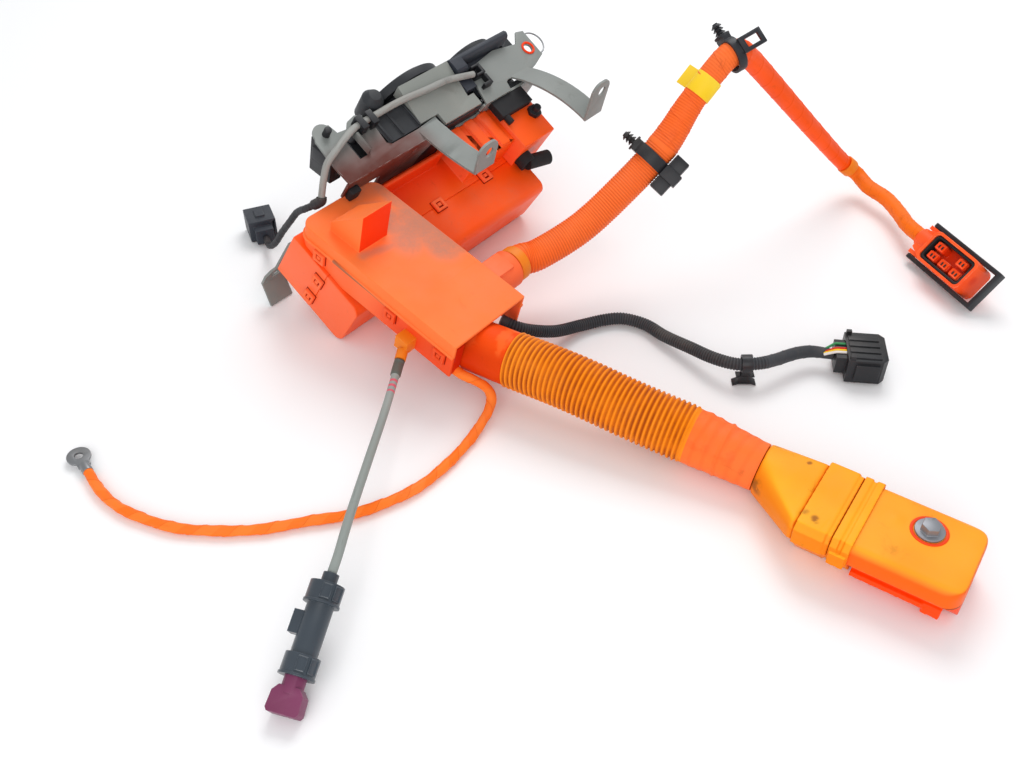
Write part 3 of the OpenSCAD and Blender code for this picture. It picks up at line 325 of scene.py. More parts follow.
def finish_material(
    name, colour, tint=None, dust=0.3, grime=0.3, wear=0.3, worn=None, dusty="dust", rough=(0.38, 0.6),
    grain=1400.0, metal=0.0, specular=0.2, gain=1.12, lift=0.01, extra=None,
):
    """A finish of moulded, coated or bare material: tint drift, dust, grime, worn edges, grain.

    Without a tint the colour drifts to one made lighter by gain and lift.
    """
    base = tone(colour)
    tint = tone(tint) if tint else tuple(min(1.0, c * gain + lift) for c in base)
    made = bpy.data.materials.new(name)
    made.use_nodes = True
    tree = made.node_tree
    tree.nodes.clear()

    def group(label, **feed):
        return put(tree, "ShaderNodeGroup", feed, node_tree=GROUPS[label]).outputs

    body = blend(tree, group("Colour drift", Scale=11.0)[0], base, tint)
    if extra:
        body = extra(tree, body)
    grimy = [c * share for c, share in zip(base, (0.22, 0.2, 0.2))]
    body = blend(tree, group("Grime spots", Amount=grime)[0], body, grimy)
    body = blend(tree, group("Worn edges", Amount=wear)[0], body, tone(worn) if worn else tint)
    settled = group("Settled dust", Amount=dust)[0]
    body = blend(tree, settled, body, tone(dusty))
    pebble = group("Mould grain", Scale=grain)
    shine = spread(tree, pebble["Shine"], 0.3, 0.8, *rough)
    shine = sums(tree, "ADD", shine, times(tree, settled, 0.3), clamp=True)
    bump = put(tree, "ShaderNodeBump",
               {"Strength": 0.6, "Distance": 0.00005, "Height": pebble["Height"]})
    shader = put(tree, "ShaderNodeBsdfPrincipled", {
        "Base Color": body, "Metallic": metal, "Roughness": shine, "Specular IOR Level": specular,
        "Normal": bump.outputs[0]})
    put(tree, "ShaderNodeOutputMaterial", {0: shader.outputs[0]})
    return made


def tube_material(
    name, colour, deep, groove=0.0, tape=0.0, lighter=None, fleck=0.0, stripes=(), **finish,
):
    """A finish that follows a cord: painted shade in its grooves, tape winds round it, stripes ring it.
    """
    deep = tone(deep)

    def marks(tree, body):
        way = put(tree, "ShaderNodeUVMap", uv_map="along").outputs[0]
        along = put(tree, "ShaderNodeSeparateXYZ", {0: way}).outputs
        if groove:
            # Painted shade: grooves darker by how deep they are, in patches
            held = put(tree, "ShaderNodeAttribute", attribute_name="groove").outputs["Fac"]
            groove_shade_patches = spread(tree, noise(tree, here(tree), 55.0, 4.0), 0.3, 0.62, 0.55, 1.0)
            body = blend(tree, times(tree, held, groove_shade_patches, groove, clamp=True), body, deep)
        if tape:
            turns = sums(tree, "ADD", sums(tree, "DIVIDE", along["X"], tape), along["Y"])
            edge = put(tree, "ShaderNodeMath", {0: turns}, operation="FRACT").outputs[0]
            body = blend(tree, times(tree, spread(tree, edge, 0.0, 0.05, 1.0, 0.0), 0.55), body, deep)
            if lighter:
                half = times(tree, spread(tree, edge, 0.45, 0.5), 0.35)
                body = blend(tree, half, body, tone(lighter))
        if fleck:
            streak = put(tree, "ShaderNodeMapping", {"Vector": way, "Scale": (60.0, 9.0, 1.0)})
            specks = spread(tree, noise(tree, streak.outputs[0], 1.0, 5.0), 0.57, 0.68)
            body = blend(tree, times(tree, specks, fleck), body, deep)
        for start, end, shade in stripes:
            inside = times(tree, sums(tree, "GREATER_THAN", along["X"], start),
                           sums(tree, "LESS_THAN", along["X"], end))
            body = blend(tree, inside, body, tone(shade))
        return body

    finish = {"rough": (0.4, 0.6), "specular": 0.12, **finish}
    return finish_material(name, colour, wear=0.0, grain=1800.0, extra=marks, **finish)


# Shades that lie at one place of the object


def near_line(tree, axes, start, end, reach, soft):
    """Mask of 1 within reach of a line, given in metres in a frame of the drawing."""
    start, end = axes @ Vector(start), axes @ Vector(end)
    run = end - start
    away = vectors(tree, "SUBTRACT", here(tree), start)
    along = vectors(tree, "DOT_PRODUCT", away, run / run.length_squared)
    along = sums(tree, "MAXIMUM", sums(tree, "MINIMUM", along, 1.0), 0.0)
    foot = put(tree, "ShaderNodeVectorMath", {0: run, "Scale": along}, operation="SCALE").outputs[0]
    return spread(tree, vectors(tree, "DISTANCE", away, foot), reach + soft, reach)


def facing(tree, axes, way, low, high):
    """Mask of faces that look along the way, given in a frame of the drawing."""
    look = (axes.to_3x3() @ Vector(way)).normalized()
    return spread(tree, vectors(tree, "DOT_PRODUCT", normal(tree), look), low, high)


def wash(tree, body, mask, share, *seen):
    """Another colour laid over the body where the mask is, at a share."""
    return blend(tree, times(tree, mask, share), body, paint(*seen))


def painted_side_shade(tree, share):
    """Painted shade: how far a face has turned from the light above, for plastics painted deeper there.
    """
    return times(tree, spread(tree, part_z(tree, normal(tree)), 0.94, 0.42), share)


def groove_dirt(tree, body):
    """Dirt line in the groove of the left wall."""
    line = near_line(tree, DUCT, (-0.001, 0.122, -0.011), (-0.001, 0.070, -0.014), 0.0008, 0.0014)
    return wash(tree, body, line, 0.75, 120, 92, 70)


def duct_haze_and_shade(tree, body):
    """Grey road haze round the wedge and along the right edge, and painted shade: deep red on the
    wedge's front face.
    """
    mask = 0.0
    for start, end, reach, soft, share in (
        ((0.050, 0.132, 0), (0.060, 0.100, 0), 0.005, 0.016, 1.0),
        ((0.071, 0.112, 0), (0.068, 0.074, 0), 0.006, 0.016, 1.0),
        ((0.050, 0.096, 0), (0.071, 0.112, 0), 0.004, 0.018, 1.0),
        ((0.060, 0.156, 0), (0.074, 0.150, 0), 0.004, 0.012, 0.6),
        ((0.012, 0.106, 0), (0.050, 0.096, 0), 0.0005, 0.006, 0.75),
        ((0.074, 0.150, 0), (0.076, 0.066, 0), 0.002, 0.009, 0.85),
    ):
        line = near_line(tree, DUCT, start, end, reach, soft)
        mask = sums(tree, "MAXIMUM", mask, times(tree, line, share))
    place = here(tree)
    clouds = spread(tree, noise(tree, place, 30.0, 8.0, Roughness=0.75), 0.30, 0.60, 0.55, 0.95)
    grit = spread(tree, noise(tree, place, 420.0, 2.0), 0.35, 0.6, 0.9, 1.0)
    mask = times(tree, mask, clouds, grit, facing(tree, DUCT, (0, 0, 1), 0.90, 0.97))
    body = groove_dirt(tree, blend(tree, mask, body, paint(192, 122, 98)))
    # Painted shade: the wedge's front face, turned from the light, in deep red
    foot = near_line(tree, DUCT, (0.013, 0.1105, 0.002), (0.041, 0.1105, 0.030), 0.026, 0.006)
    wedge_face_shade = times(tree, foot, facing(tree, DUCT, (0, -1, 0), 0.6, 0.9))
    return blend(tree, wedge_face_shade, body, paint(254, 58, 8))


def tray_shade(tree, body):
    """Painted shade: deeper red on the tray's walls toward the mouth; and the grey-brown line in the
    left wall's groove.
    """
    # Painted shade near the tray's mouth
    near = near_line(tree, DUCT, (0.0, 0.002, -0.026), (0.0, 0.050, -0.026), 0.010, 0.032)
    return groove_dirt(tree, wash(tree, body, near, 0.7, 236, 62, 6))


def housing_shade(tree, body):
    """Painted shadow: deeper red where the housing lies under the bracket. Painted light: paler on its
    end.
    """
    # Painted shadow of the bracket
    under = near_line(tree, HEAD, (0.080, -0.012, -0.041), (0.200, -0.012, -0.041), 0.010, 0.030)
    body = wash(tree, body, under, 0.7, 226, 50, 12)
    # Painted light on the end that faces the lamp
    end = facing(tree, HEAD, (-1, 0, 0), 0.5, 0.9)
    return wash(tree, body, end, 0.6, 255, 118, 74)


def collar_folds_and_shade(tree, body):
    """Lighter laps of the tape that closes the collar; painted shade, deeper on its sides and toward
    the mouth.
    """
    laps = spread(tree, noise(tree, here(tree), 60.0, 3.0), 0.5, 0.6, 0.0, 0.5)
    body = blend(tree, laps, body, paint(255, 118, 50))
    # Painted shade on the sides and near the mouth
    body = blend(tree, painted_side_shade(tree, 0.8), body, paint(216, 60, 2))
    near = near_line(tree, DUCT, (0.020, -0.001, -0.030), (0.062, -0.001, -0.030), 0.006, 0.028)
    return blend(tree, near, body, paint(212, 54, 4))


def cavity_shade(tree, body):
    """Painted shade: deep red inside the mouth of the AC connector."""
    inside = near_line(tree, AC_PLUG, (-0.012, 0, 0.008), (0.018, 0, 0.008), 0.0105, 0.002)
    return blend(tree, inside, body, paint(232, 54, 8))


def lower_red(tree, body):
    """Painted shade, deeper on the DC connector's sides; a redder orange below the seam, and a dark
    line on the seam.
    """
    height = part_z(tree, here(tree))
    # Painted shade on the sides
    body = blend(tree, painted_side_shade(tree, 0.85), body, paint(242, 84, 1))
    body = blend(tree, spread(tree, height, 0.0245, 0.0215), body, paint(250, 72, 2))
    seam = put(tree, "ShaderNodeMath", {0: height, 1: 0.0232, 2: 0.0007}, operation="COMPARE")
    return wash(tree, body, seam.outputs[0], 0.7, 120, 36, 4)


def boot_shade(tree, body):
    """Painted shade, deeper amber on the boot's sides, with rubbed dark patches."""
    # Painted shade on the sides
    body = blend(tree, painted_side_shade(tree, 0.80), body, paint(242, 118, 4))
    broken = spread(tree, noise(tree, here(tree), 170.0, 5.0), 0.36, 0.56, 0.1, 0.85)
    for start, end, reach, soft in (
        ((0.0547, -0.2111, 0.022), (0.0534, -0.2207, 0.024), 0.0020, 0.006),
        ((0.0403, -0.2603, 0.038), (0.0415, -0.2610, 0.038), 0.0008, 0.003),
        ((0.0401, -0.2678, 0.040), (0.0385, -0.2690, 0.040), 0.0008, 0.003),
        ((0.0819, -0.2412, 0.038), (0.0826, -0.2418, 0.038), 0.0004, 0.002),
    ):
        spot = near_line(tree, BENCH, start, end, reach, soft)
        body = wash(tree, body, spot, broken, 150, 84, 20)
    return body


def wing_shade_and_reflection(tree, body):
    """Painted shade and reflection: a reddish-brown bloom on the coat near the left wing, from the
    orange housing beside it.
    """
    # Painted shade and reflection near the left wing
    mask = near_line(tree, HEAD, (0.045, -0.010, -0.012), (0.104, -0.010, -0.010), 0.013, 0.025)
    clouds = spread(tree, noise(tree, here(tree), 40.0, 6.0), 0.3, 0.65, 0.85, 1.0)
    return wash(tree, body, mask, clouds, 92, 40, 30)


# Each finish: its name, colour and tint, then what sets it apart
FINISHES = {
    "housing": ("Housing orange", "housing", (254, 96, 24), dict(
        dust=0.16, grime=0.22, wear=0.35, worn=(255, 134, 72), rough=(0.34, 0.52), specular=0.22,
        extra=housing_shade)),
    "duct": ("Duct orange", "duct", (255, 124, 60), dict(
        dust=0.10, grime=0.18, worn=(255, 158, 104), rough=(0.42, 0.6), specular=0.16,
        extra=duct_haze_and_shade)),
    "tray": ("Tray orange", "tray", (255, 118, 70), dict(
        dust=0.12, grime=0.25, worn=(255, 150, 110), rough=(0.42, 0.6), specular=0.14,
        extra=tray_shade)),
    # Dark red sheets that paint the shade in the gaps round the snap loops
    "slot": ("Slot shade", (150, 28, 6), (130, 22, 5), dict(
        dust=0.0, grime=0.0, wear=0.0, specular=0.05)),
    # The mouth web's deep red is painted shade
    "web": ("Mouth web", (214, 40, 4), (200, 34, 4), dict(
        dust=0.0, grime=0.2, wear=0.0, specular=0.1)),
    "collar": ("Collar tape", (246, 86, 14), (238, 72, 8), dict(
        dust=0.05, grime=0.35, wear=0.2, worn=(255, 150, 90), rough=(0.4, 0.56), specular=0.08,
        extra=collar_folds_and_shade)),
    "boot": ("Boot amber", "boot", (252, 158, 26), dict(
        dust=0.06, grime=0.5, worn=(255, 196, 80), rough=(0.4, 0.6), grain=700.0, specular=0.12,
        extra=boot_shade)),
    "dc body": ("Connector amber", (255, 166, 40), (254, 152, 30), dict(
        dust=0.05, grime=0.25, wear=0.35, worn=(255, 178, 84), rough=(0.32, 0.5), specular=0.14,
        extra=lower_red)),
    "ac body": ("Connector orange", (254, 98, 42), (252, 78, 20), dict(
        dust=0.08, grime=0.2, wear=0.5, worn=(255, 190, 150), extra=cavity_shade)),
    "red": ("Contact carrier red", (240, 62, 10), (252, 84, 20), dict(dust=0.03, grime=0.35)),
    "steel": ("Bracket coat", "steel", (122, 126, 122), dict(
        dust=0.10, wear=0.55, worn=(186, 190, 186), rough=(0.42, 0.62), grain=900.0,
        dusty=(150, 148, 140), specular=0.35, extra=wing_shade_and_reflection)),
    "black": ("Black plastic", "black", None, dict(
        gain=1.3, lift=0.012, dust=0.14, grime=0.0, worn=(104, 106, 110), rough=(0.4, 0.6),
        dusty=(104, 104, 102), specular=0.3)),
    "release": ("Release plastic", (42, 49, 57), (58, 67, 76), dict(
        dust=0.10, grime=0.0, wear=0.4, worn=(110, 118, 126), rough=(0.26, 0.42), dusty=(92, 96, 100),
        specular=0.5)),
    "slate": ("Slate plastic", (44, 48, 57), (56, 60, 68), dict(
        dust=0.25, grime=0.1, wear=0.35, worn=(120, 122, 128), dusty=(118, 118, 116), specular=0.3)),
    "hood": ("Hood plastic", (134, 137, 132), (150, 152, 146), dict(
        dust=0.4, grime=0.2, worn=(150, 150, 147), dusty=(158, 154, 146))),
    "rubber": ("Rubber", (30, 30, 32), (44, 44, 46), dict(
        dust=0.16, grime=0.0, wear=0.1, rough=(0.6, 0.8), dusty=(96, 94, 92))),
    "zinc": ("Zinc plate", (150, 152, 155), (120, 120, 120), dict(
        dust=0.2, grime=0.4, wear=0.4, worn=(205, 206, 208), metal=1.0, rough=(0.3, 0.55), grain=500.0,
        specular=0.5)),
    "bolt": ("Bolt grey", (146, 148, 154), (120, 122, 128), dict(
        dust=0.2, grime=0.6, wear=0.6, worn=(198, 200, 206), metal=0.55, rough=(0.34, 0.55),
        grain=500.0, specular=0.5)),
    "brass": ("Contact metal", (206, 176, 108), (186, 150, 84), dict(
        dust=0.05, grime=0.2, wear=0.2, metal=1.0, rough=(0.22, 0.4), specular=0.5)),
    "maroon": ("Pull maroon", "pull", (128, 62, 96), dict(
        dust=0.06, grime=0.15, wear=0.35, worn=(176, 116, 146), rough=(0.34, 0.5))),
    "tag": ("Tag yellow", "tag", (255, 220, 60), dict(
        dust=0.12, grime=0.45, wear=0.2, worn=(255, 240, 170), rough=(0.4, 0.6))),
    "clip amber": ("Clip amber", (240, 132, 24), (220, 104, 20), dict(
        dust=0.15, grime=0.5, worn=(252, 176, 90))),
    "dark clip": ("Dark clip", (26, 27, 30), (38, 39, 44), dict(
        dust=0.10, grime=0.0, worn=(92, 92, 98), rough=(0.34, 0.52), specular=0.35)),
}
WIRES = {"wire red": (206, 30, 22), "wire yellow": (240, 196, 20), "wire white": (226, 224, 218),
         "wire green": (52, 140, 84)}
MATERIALS = {}


def prepare_materials():
    """The finishes that the pieces share."""
    for key, (name, colour, tint, settings) in FINISHES.items():
        MATERIALS[key] = finish_material(name, colour, tint, **settings)
    for key, shade in WIRES.items():
        tint = [min(255, s + 14) for s in shade]
        MATERIALS[key] = finish_material(key.title(), shade, tint, dust=0.1, grime=0.2, wear=0.0,
                                         rough=(0.3, 0.45))


# Mesh helpers


def only(obj):
    """Select just this object, and make it the active one."""
    if bpy.context.mode != "OBJECT":
        bpy.ops.object.mode_set(mode="OBJECT")
    bpy.ops.object.select_all(action="DESELECT")
    obj.select_set(True)
    bpy.context.view_layer.objects.active = obj


def give(obj, material, body="base"):
    obj.data.materials.clear()
    obj.data.materials.append(material)
    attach(obj, body)


def apply_modifier(obj, kind, **settings):
    only(obj)
    made = obj.modifiers.new(kind.title(), kind)
    for key, value in settings.items():
        setattr(made, key, value)
    bpy.ops.object.modifier_apply(modifier=made.name)


def round_edges(obj, width, angle, segments=2, **settings):
    """Round the edges whose faces meet at more than the angle, in degrees."""
    apply_modifier(obj, "BEVEL", width=width, segments=segments, limit_method="ANGLE",
                   angle_limit=math.radians(angle), **settings)


def smooth(obj, angle=EDGE_ANGLE):
    only(obj)
    bpy.ops.object.shade_smooth_by_angle(angle=math.radians(angle))


def copy_of(node, name):
    """A merged copy of a CAD solid with its flat faces whole again."""
    made = NODES[node].copy()
    made.data = NODES[node].data.copy()
    for key in list(made.keys()):
        del made[key]
    made.name = name
    made.parent = None
    made.matrix_world = Matrix.Identity(4)
    made.hide_render = made.hide_viewport = False
    bpy.context.scene.collection.objects.link(made)
    only(made)
    bpy.ops.object.mode_set(mode="EDIT")
    bpy.ops.mesh.select_all(action="SELECT")
    bpy.ops.mesh.remove_doubles(threshold=MERGE_WITHIN)
    bpy.ops.mesh.dissolve_limited(angle_limit=math.radians(FLAT_ANGLE))
    bpy.ops.object.mode_set(mode="OBJECT")
    return made


def stand_for(made, node, material, angle):
    """Finish a piece that takes the place of a CAD solid, on the same body."""
    smooth(made, angle)
    give(made, material, BODY_OF[node])
    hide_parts(node)


def moulded(node, name, material, edge, steps=2, angle=32):
    """The CAD solid with its edges rounded as the tool leaves them."""
    made = copy_of(node, name)
    round_edges(made, edge, angle, steps, use_clamp_overlap=True, profile=0.6)
    stand_for(made, node, material, EDGE_ANGLE)


def all_moulded(*rows):
    """Each node under a name of its own, with its finish and its edge."""
    for node, finish, edge in rows:
        moulded(node, node + "_made", MATERIALS[finish], edge, 3 if edge > WIDE_EDGE else 2)


def soft_form(node, name, material, grid, rounds, share=None):
    """The CAD solid with its edges run soft. share(place) says how far each corner takes part."""
    made = copy_of(node, name)
    apply_modifier(made, "REMESH", mode="VOXEL", voxel_size=grid)
    soft = {}
    if share:
        group = made.vertex_groups.new(name="soft")
        for v in made.data.vertices:
            group.add([v.index], share(v.co), "REPLACE")
        soft["vertex_group"] = group.name
    apply_modifier(made, "SMOOTH", factor=0.5, iterations=rounds, **soft)
    made.vertex_groups.clear()
    stand_for(made, node, material, TUBE_ANGLE)


def fair_line(points, step):
    """Points every step along a smooth line through the given ones, with the way gone so far."""
    padded = [2 * points[0] - points[1], *points, 2 * points[-1] - points[-2]]
    fine = []
    for a, b, c, d in zip(padded, padded[1:], padded[2:], padded[3:]):
        for k in range(FINE_STEPS):
            t = k / FINE_STEPS
            fine.append(0.5 * ((2 * b) + (c - a) * t + (2 * a - 5 * b + 4 * c - d) * t * t
                               + (3 * b - a - 3 * c + d) * t * t * t))
    fine.append(points[-1].copy())
    gone = [0.0]
    for a, b in zip(fine, fine[1:]):
        gone.append(gone[-1] + (b - a).length)
    count = max(2, round(gone[-1] / step))
    line, i = [], 0
    for k in range(count + 1):
        want = gone[-1] * k / count
        while i < len(gone) - 2 and gone[i + 1] < want:
            i += 1
        share = (want - gone[i]) / max(1e-9, gone[i + 1] - gone[i])
        line.append((fine[i].lerp(fine[i + 1], min(1.0, share)), want))
    return line


def tube(name, line, shape, around, reference=(0, 0, 1)):
    """A closed tube along the line. shape(way, turn) gives radius and how deep in a groove."""
    bm = bmesh.new()
    groove = bm.verts.layers.float.new("groove")
    side = Vector(reference)
    rings = []
    for k, (p, way) in enumerate(line):
        ahead = line[min(k + 1, len(line) - 1)][0] - line[max(k - 1, 0)][0]
        ahead.normalize()
        side = side - ahead * side.dot(ahead)
        side.normalize()
        other = ahead.cross(side)
        ring = []
        for j in range(around):
            turn = j / around
            radius, deep = shape(way, turn)
            a = 2 * math.pi * turn
            v = bm.verts.new(p + radius * (math.cos(a) * side + math.sin(a) * other))
            v[groove] = deep
            ring.append(v)
        rings.append(ring)
    uv = bm.loops.layers.uv.new("along")
    for k in range(len(rings) - 1):
        for j in range(around):
            n = (j + 1) % around
            face = bm.faces.new((rings[k][j], rings[k][n], rings[k + 1][n], rings[k + 1][j]))
            face.smooth = True
            for loop, (kk, jj) in zip(face.loops, ((k, j), (k, j + 1), (k + 1, j + 1), (k + 1, j))):
                loop[uv].uv = (line[kk][1], jj / around)
    bm.faces.new(list(reversed(rings[0])))
    bm.faces.new(rings[-1])
    mesh = bpy.data.meshes.new(name)
    bm.to_mesh(mesh)
    bm.free()
    made = bpy.data.objects.new(name, mesh)
    bpy.context.scene.collection.objects.link(made)
    return made


def ribs(radius, depth, pitch, start, end, fade, flat):
    """Corrugations between two ways along a tube, plain outside. Below 1, flat widens the crests."""
    def shape(way):
        inside = min(1.0, max(0.0, (way - start) / fade), max(0.0, (end - way) / fade))
        drop = (1 - wave(way, pitch) ** flat) * inside
        return radius - depth * drop, drop
    return shape


def wave(way, pitch):
    return 0.5 - 0.5 * math.cos(2 * math.pi * way / pitch)


def lap(way, turn, pitch, high, at=0.04, wide=0.06):
    """The raised edge of a tape that winds once round a tube in each pitch."""
    return high * math.exp(-(((way / pitch + turn) % 1.0 - at) / wide) ** 2)


def second_finish(made, material, line, around, start):
    """A second material on a tube, from a way along its line on."""
    made.data.materials.append(material)
    for f in made.data.polygons:
        ring = f.index // around
        if ring < len(line) - 1 and line[ring][1] > start:
            f.material_index = 1


def begin(name, add, **settings):
    """A new primitive, the only thing selected."""
    bpy.ops.object.select_all(action="DESELECT")
    add(**settings)
    made = bpy.context.active_object
    made.name = name
    return made


def pick_top(made):
    """Go into edit mode with only the faces selected that look up."""
    bpy.ops.object.mode_set(mode="EDIT")
    bpy.ops.mesh.select_mode(type="FACE")
    bpy.ops.mesh.select_all(action="DESELECT")
    bm = bmesh.from_edit_mesh(made.data)
    for f in bm.faces:
        f.select = f.normal.z > 0.9
    bmesh.update_edit_mesh(made.data)


def settle(made, place, material, angle=EDGE_ANGLE):
    """Put a piece of the base at its place, which goes into its mesh."""
    made.matrix_world = place
    only(made)
    bpy.ops.object.transform_apply(location=True, rotation=True, scale=True)
    smooth(made, angle)
    give(made, material)


def block(name, place, size, material, cut=0.0, inset=0.0, push=0.0):
    """A box in its own frame, its top inset and pushed, its edges rounded."""
    made = begin(name, bpy.ops.mesh.primitive_cube_add, size=1)
    bpy.ops.object.mode_set(mode="EDIT")
    bpy.ops.mesh.select_all(action="SELECT")
    bpy.ops.transform.resize(value=size)
    if inset:
        pick_top(made)
        bpy.ops.mesh.inset(thickness=inset)
        bpy.ops.transform.translate(value=(0, 0, push))
    bpy.ops.object.mode_set(mode="OBJECT")
    if cut:
        round_edges(made, cut, 30)
    settle(made, place, material)


def seat(name, place, radius, bore, height, material):
    """A round seat, sunk to a bore from its top."""
    made = begin(name, bpy.ops.mesh.primitive_cylinder_add, vertices=48, radius=radius, depth=height)
    pick_top(made)
    bpy.ops.mesh.inset(thickness=radius - bore)
    bpy.ops.mesh.extrude_region_move(TRANSFORM_OT_translate={"value": (0, 0, -height * 0.6)})
    bpy.ops.object.mode_set(mode="OBJECT")
    round_edges(made, 0.0003, 40)
    settle(made, place, material)


def hoop(name, place, radius, thick, material):
    """A round wire ring lying in its own frame."""
    made = begin(name, bpy.ops.mesh.primitive_torus_add, major_radius=radius, minor_radius=thick,
                 major_segments=40, minor_segments=10)
    settle(made, place, material, TUBE_ANGLE)


# Operators


class SOCKET_OT_studio(bpy.types.Operator):
    """Camera at the photograph's angle, pale floor and soft lamps"""

    bl_idname = "socket.studio"
    bl_label = "Studio"

    def execute(self, context):
        scene = context.scene
        scene.view_settings.view_transform = "Standard"

        def hang(name, data, spot, look):
            """A camera or lamp at its spot, looking along a way."""
            made = bpy.data.objects.new(name, data)
            scene.collection.objects.link(made)
            made.location = spot
            made.rotation_mode = "QUATERNION"
            made.rotation_quaternion = look.to_track_quat("-Z", "Y")
            return made

        data = bpy.data.cameras.new("Camera")
        data.lens, data.sensor_width = 38.67, 36.0
        data.clip_start, data.clip_end = 0.02, 20.0
        down = math.radians(43)
        look = Vector((0.769 * math.cos(down), 0.639 * math.cos(down), -math.sin(down)))
        eye = BENCH @ Vector((-0.4288, -0.4085, 0.576))
        scene.camera = hang("Camera", data, eye, look)
        floor = begin("Floor", bpy.ops.mesh.primitive_plane_add, size=9, location=(0, 0, -0.0004))
        pale = bpy.data.materials.new("Floor white")
        pale.use_nodes = True
        shader = pale.node_tree.nodes["Principled BSDF"]
        shader.inputs["Base Color"].default_value = (0.93, 0.93, 0.935, 1)
        shader.inputs["Roughness"].default_value = 0.65
        shader.inputs["Specular IOR Level"].default_value = 0.25
        floor.data.materials.append(pale)
        world = bpy.data.worlds.new("Studio world")
        scene.world = world
        world.use_nodes = True
        back = world.node_tree.nodes["Background"]
        back.inputs["Color"].default_value = (0.97, 0.985, 1.0, 1)
        back.inputs["Strength"].default_value = 0.68
        aim = Vector((0, -0.05, 0.05))
        for name, spot, power, size in (
            ("Key", (0.85, 0.35, 1.5), 14.0, 1.0),
            ("Fill", (-1.3, -0.9, 0.9), 12.0, 1.4),
        ):
            lamp = bpy.data.lights.new(name, "AREA")
            lamp.energy, lamp.size = power, size
            hang(name, lamp, spot, aim - Vector(spot))
        return {"FINISHED"}


class SOCKET_OT_dc_conduit(bpy.types.Operator):
    """Large corrugated conduit from the duct mouth to the DC connector's boot"""

    bl_idname = "socket.dc_conduit"
    bl_label = "DC conduit"

    def execute(self, context):
        s = context.scene.socket_sizes
        line = fair_line(on_bench(DC_ROUTE), s.dc_pitch / 7)
        length = line[-1][1]
        ribbed_to = 0.74 * length
        fade = 0.003
        pitch = ribbed_to / round(ribbed_to / s.dc_pitch)
        corrugation = ribs(s.dc_conduit / 2, depth=0.0019, pitch=pitch, start=-0.01, end=ribbed_to,
                           fade=fade, flat=0.8)
        step_down, taper, fold = 0.0012, 0.0028, 0.00014
        # Swells of the tape: how far past the ribs, how high and how wide
        swells = ((0.006, 0.0007, 0.0022), (0.0125, 0.0005, 0.002), (0.0225, 0.0009, 0.0012))

        def shape(way, turn):
            radius, deep = corrugation(way + pitch / 2)
            past = way + pitch / 2 - ribbed_to + fade
            if past > 0:
                t = min(1.0, past / (length - ribbed_to + fade))
                radius -= step_down * min(1.0, past / fade) + taper * t ** 1.2
                folds = math.sin(way * 700 + 1.6 * math.sin(2 * math.pi * turn))
                radius += fold * folds
                for at, high, wide in swells:
                    radius += high * math.exp(-((way - ribbed_to - at) / wide) ** 2)
                # Fold troughs take the grooves' painted shade
                deep = 0.2 * max(0.0, -folds)
            return radius, deep

        made = tube("dc_conduit_ribbed", line, shape, s.around)
        give(made, tube_material("Conduit amber", "conduit", (158, 62, 4), groove=1.0, grime=0.25,
                                 dust=0.08))
        tape = tube_material("Conduit tape", (254, 112, 44), (216, 70, 20), groove=0.8, dust=0.1,
                             fleck=0.2)
        second_finish(made, tape, line, s.around, ribbed_to - 0.001)
        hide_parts("dc_conduit")
        return {"FINISHED"}


class SOCKET_OT_ac_conduit(bpy.types.Operator):
    """AC conduit: corrugated to the double clip, taped over the peak, slim down to its connector"""

    bl_idname = "socket.ac_conduit"
    bl_label = "AC conduit"

    def execute(self, context):
        s = context.scene.socket_sizes
        route = on_bench(AC_ROUTE)
        whole = fair_line(route, 0.00036)
        double_clip, peak, band = (
            min(range(len(whole)), key=lambda i: (whole[i][0] - route[k]).length) for k in (5, 8, 12))
        clip = whole[double_clip][1]
        rise = whole[: peak + 1]
        top = rise[-1][1]
        corrugation = ribs(s.ac_conduit / 2, depth=0.0006, pitch=s.ac_pitch, start=0.012,
                           end=clip - 0.002, fade=0.003, flat=0.7)
        tape_turn = 0.017
        step_down, taper, ridge = 0.0003, 0.0024, 0.00032

        def climbing(way, turn):
            radius, deep = corrugation(way)
            if way > clip:
                t = (way - clip) / (top - clip)
                fading = 1 - 0.6 * t
                crest = 1 - wave(way, s.ac_pitch)
                deep = (1 - crest) * fading
                radius = s.ac_conduit / 2 - step_down - taper * min(1.0, 2.2 * t)
                radius += crest * ridge * fading + lap(way, turn, tape_turn, high=0.0003, wide=0.05)
            return radius, deep

        made = tube("ac_conduit_rise", rise, climbing, 40)
        give(made, tube_material("AC sheath", "ac_sheath", (196, 62, 8), groove=0.55, grime=0.25,
                                 dust=0.1))
        tape = tube_material("AC tape", (253, 108, 40), (206, 68, 16), groove=0.5, tape=tape_turn,
                             fleck=0.2, dust=0.1)
        second_finish(made, tape, rise, 40, clip)
        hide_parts("ac_conduit")

        slim = [(p, w - top) for p, w in whole[peak::2]]
        clamp = whole[band][1] - top + 0.008
        neck = 0.012
        wrap_turn, bare_turn = 0.020, 0.011
        at_peak, at_neck, at_clamp, beyond = 0.0101, 0.0086, 0.0072, 0.0066

        def falling(way, turn):
            if way < neck:
                radius = at_peak + (at_neck - at_peak) * way / neck
            elif way < clamp:
                radius = at_neck + (at_clamp - at_neck) * (way - neck) / (clamp - neck)
            else:
                radius = beyond
            pitch = wrap_turn if way < clamp else bare_turn
            return radius + lap(way, -turn, pitch, high=0.00025), 0.0

        made = tube("ac_lead", slim, falling, 32)
        give(made, tube_material("AC lead wrap", (246, 80, 1), (222, 64, 4), tape=-wrap_turn,
                                 grime=0.25, fleck=0.2, dust=0.06))
        amber = tube_material("AC lead amber", (238, 108, 8), (190, 76, 10), tape=-bare_turn, grime=0.4,
                              fleck=0.3, dust=0.08)
        second_finish(made, amber, slim, 32, clamp)
        return {"FINISHED"}


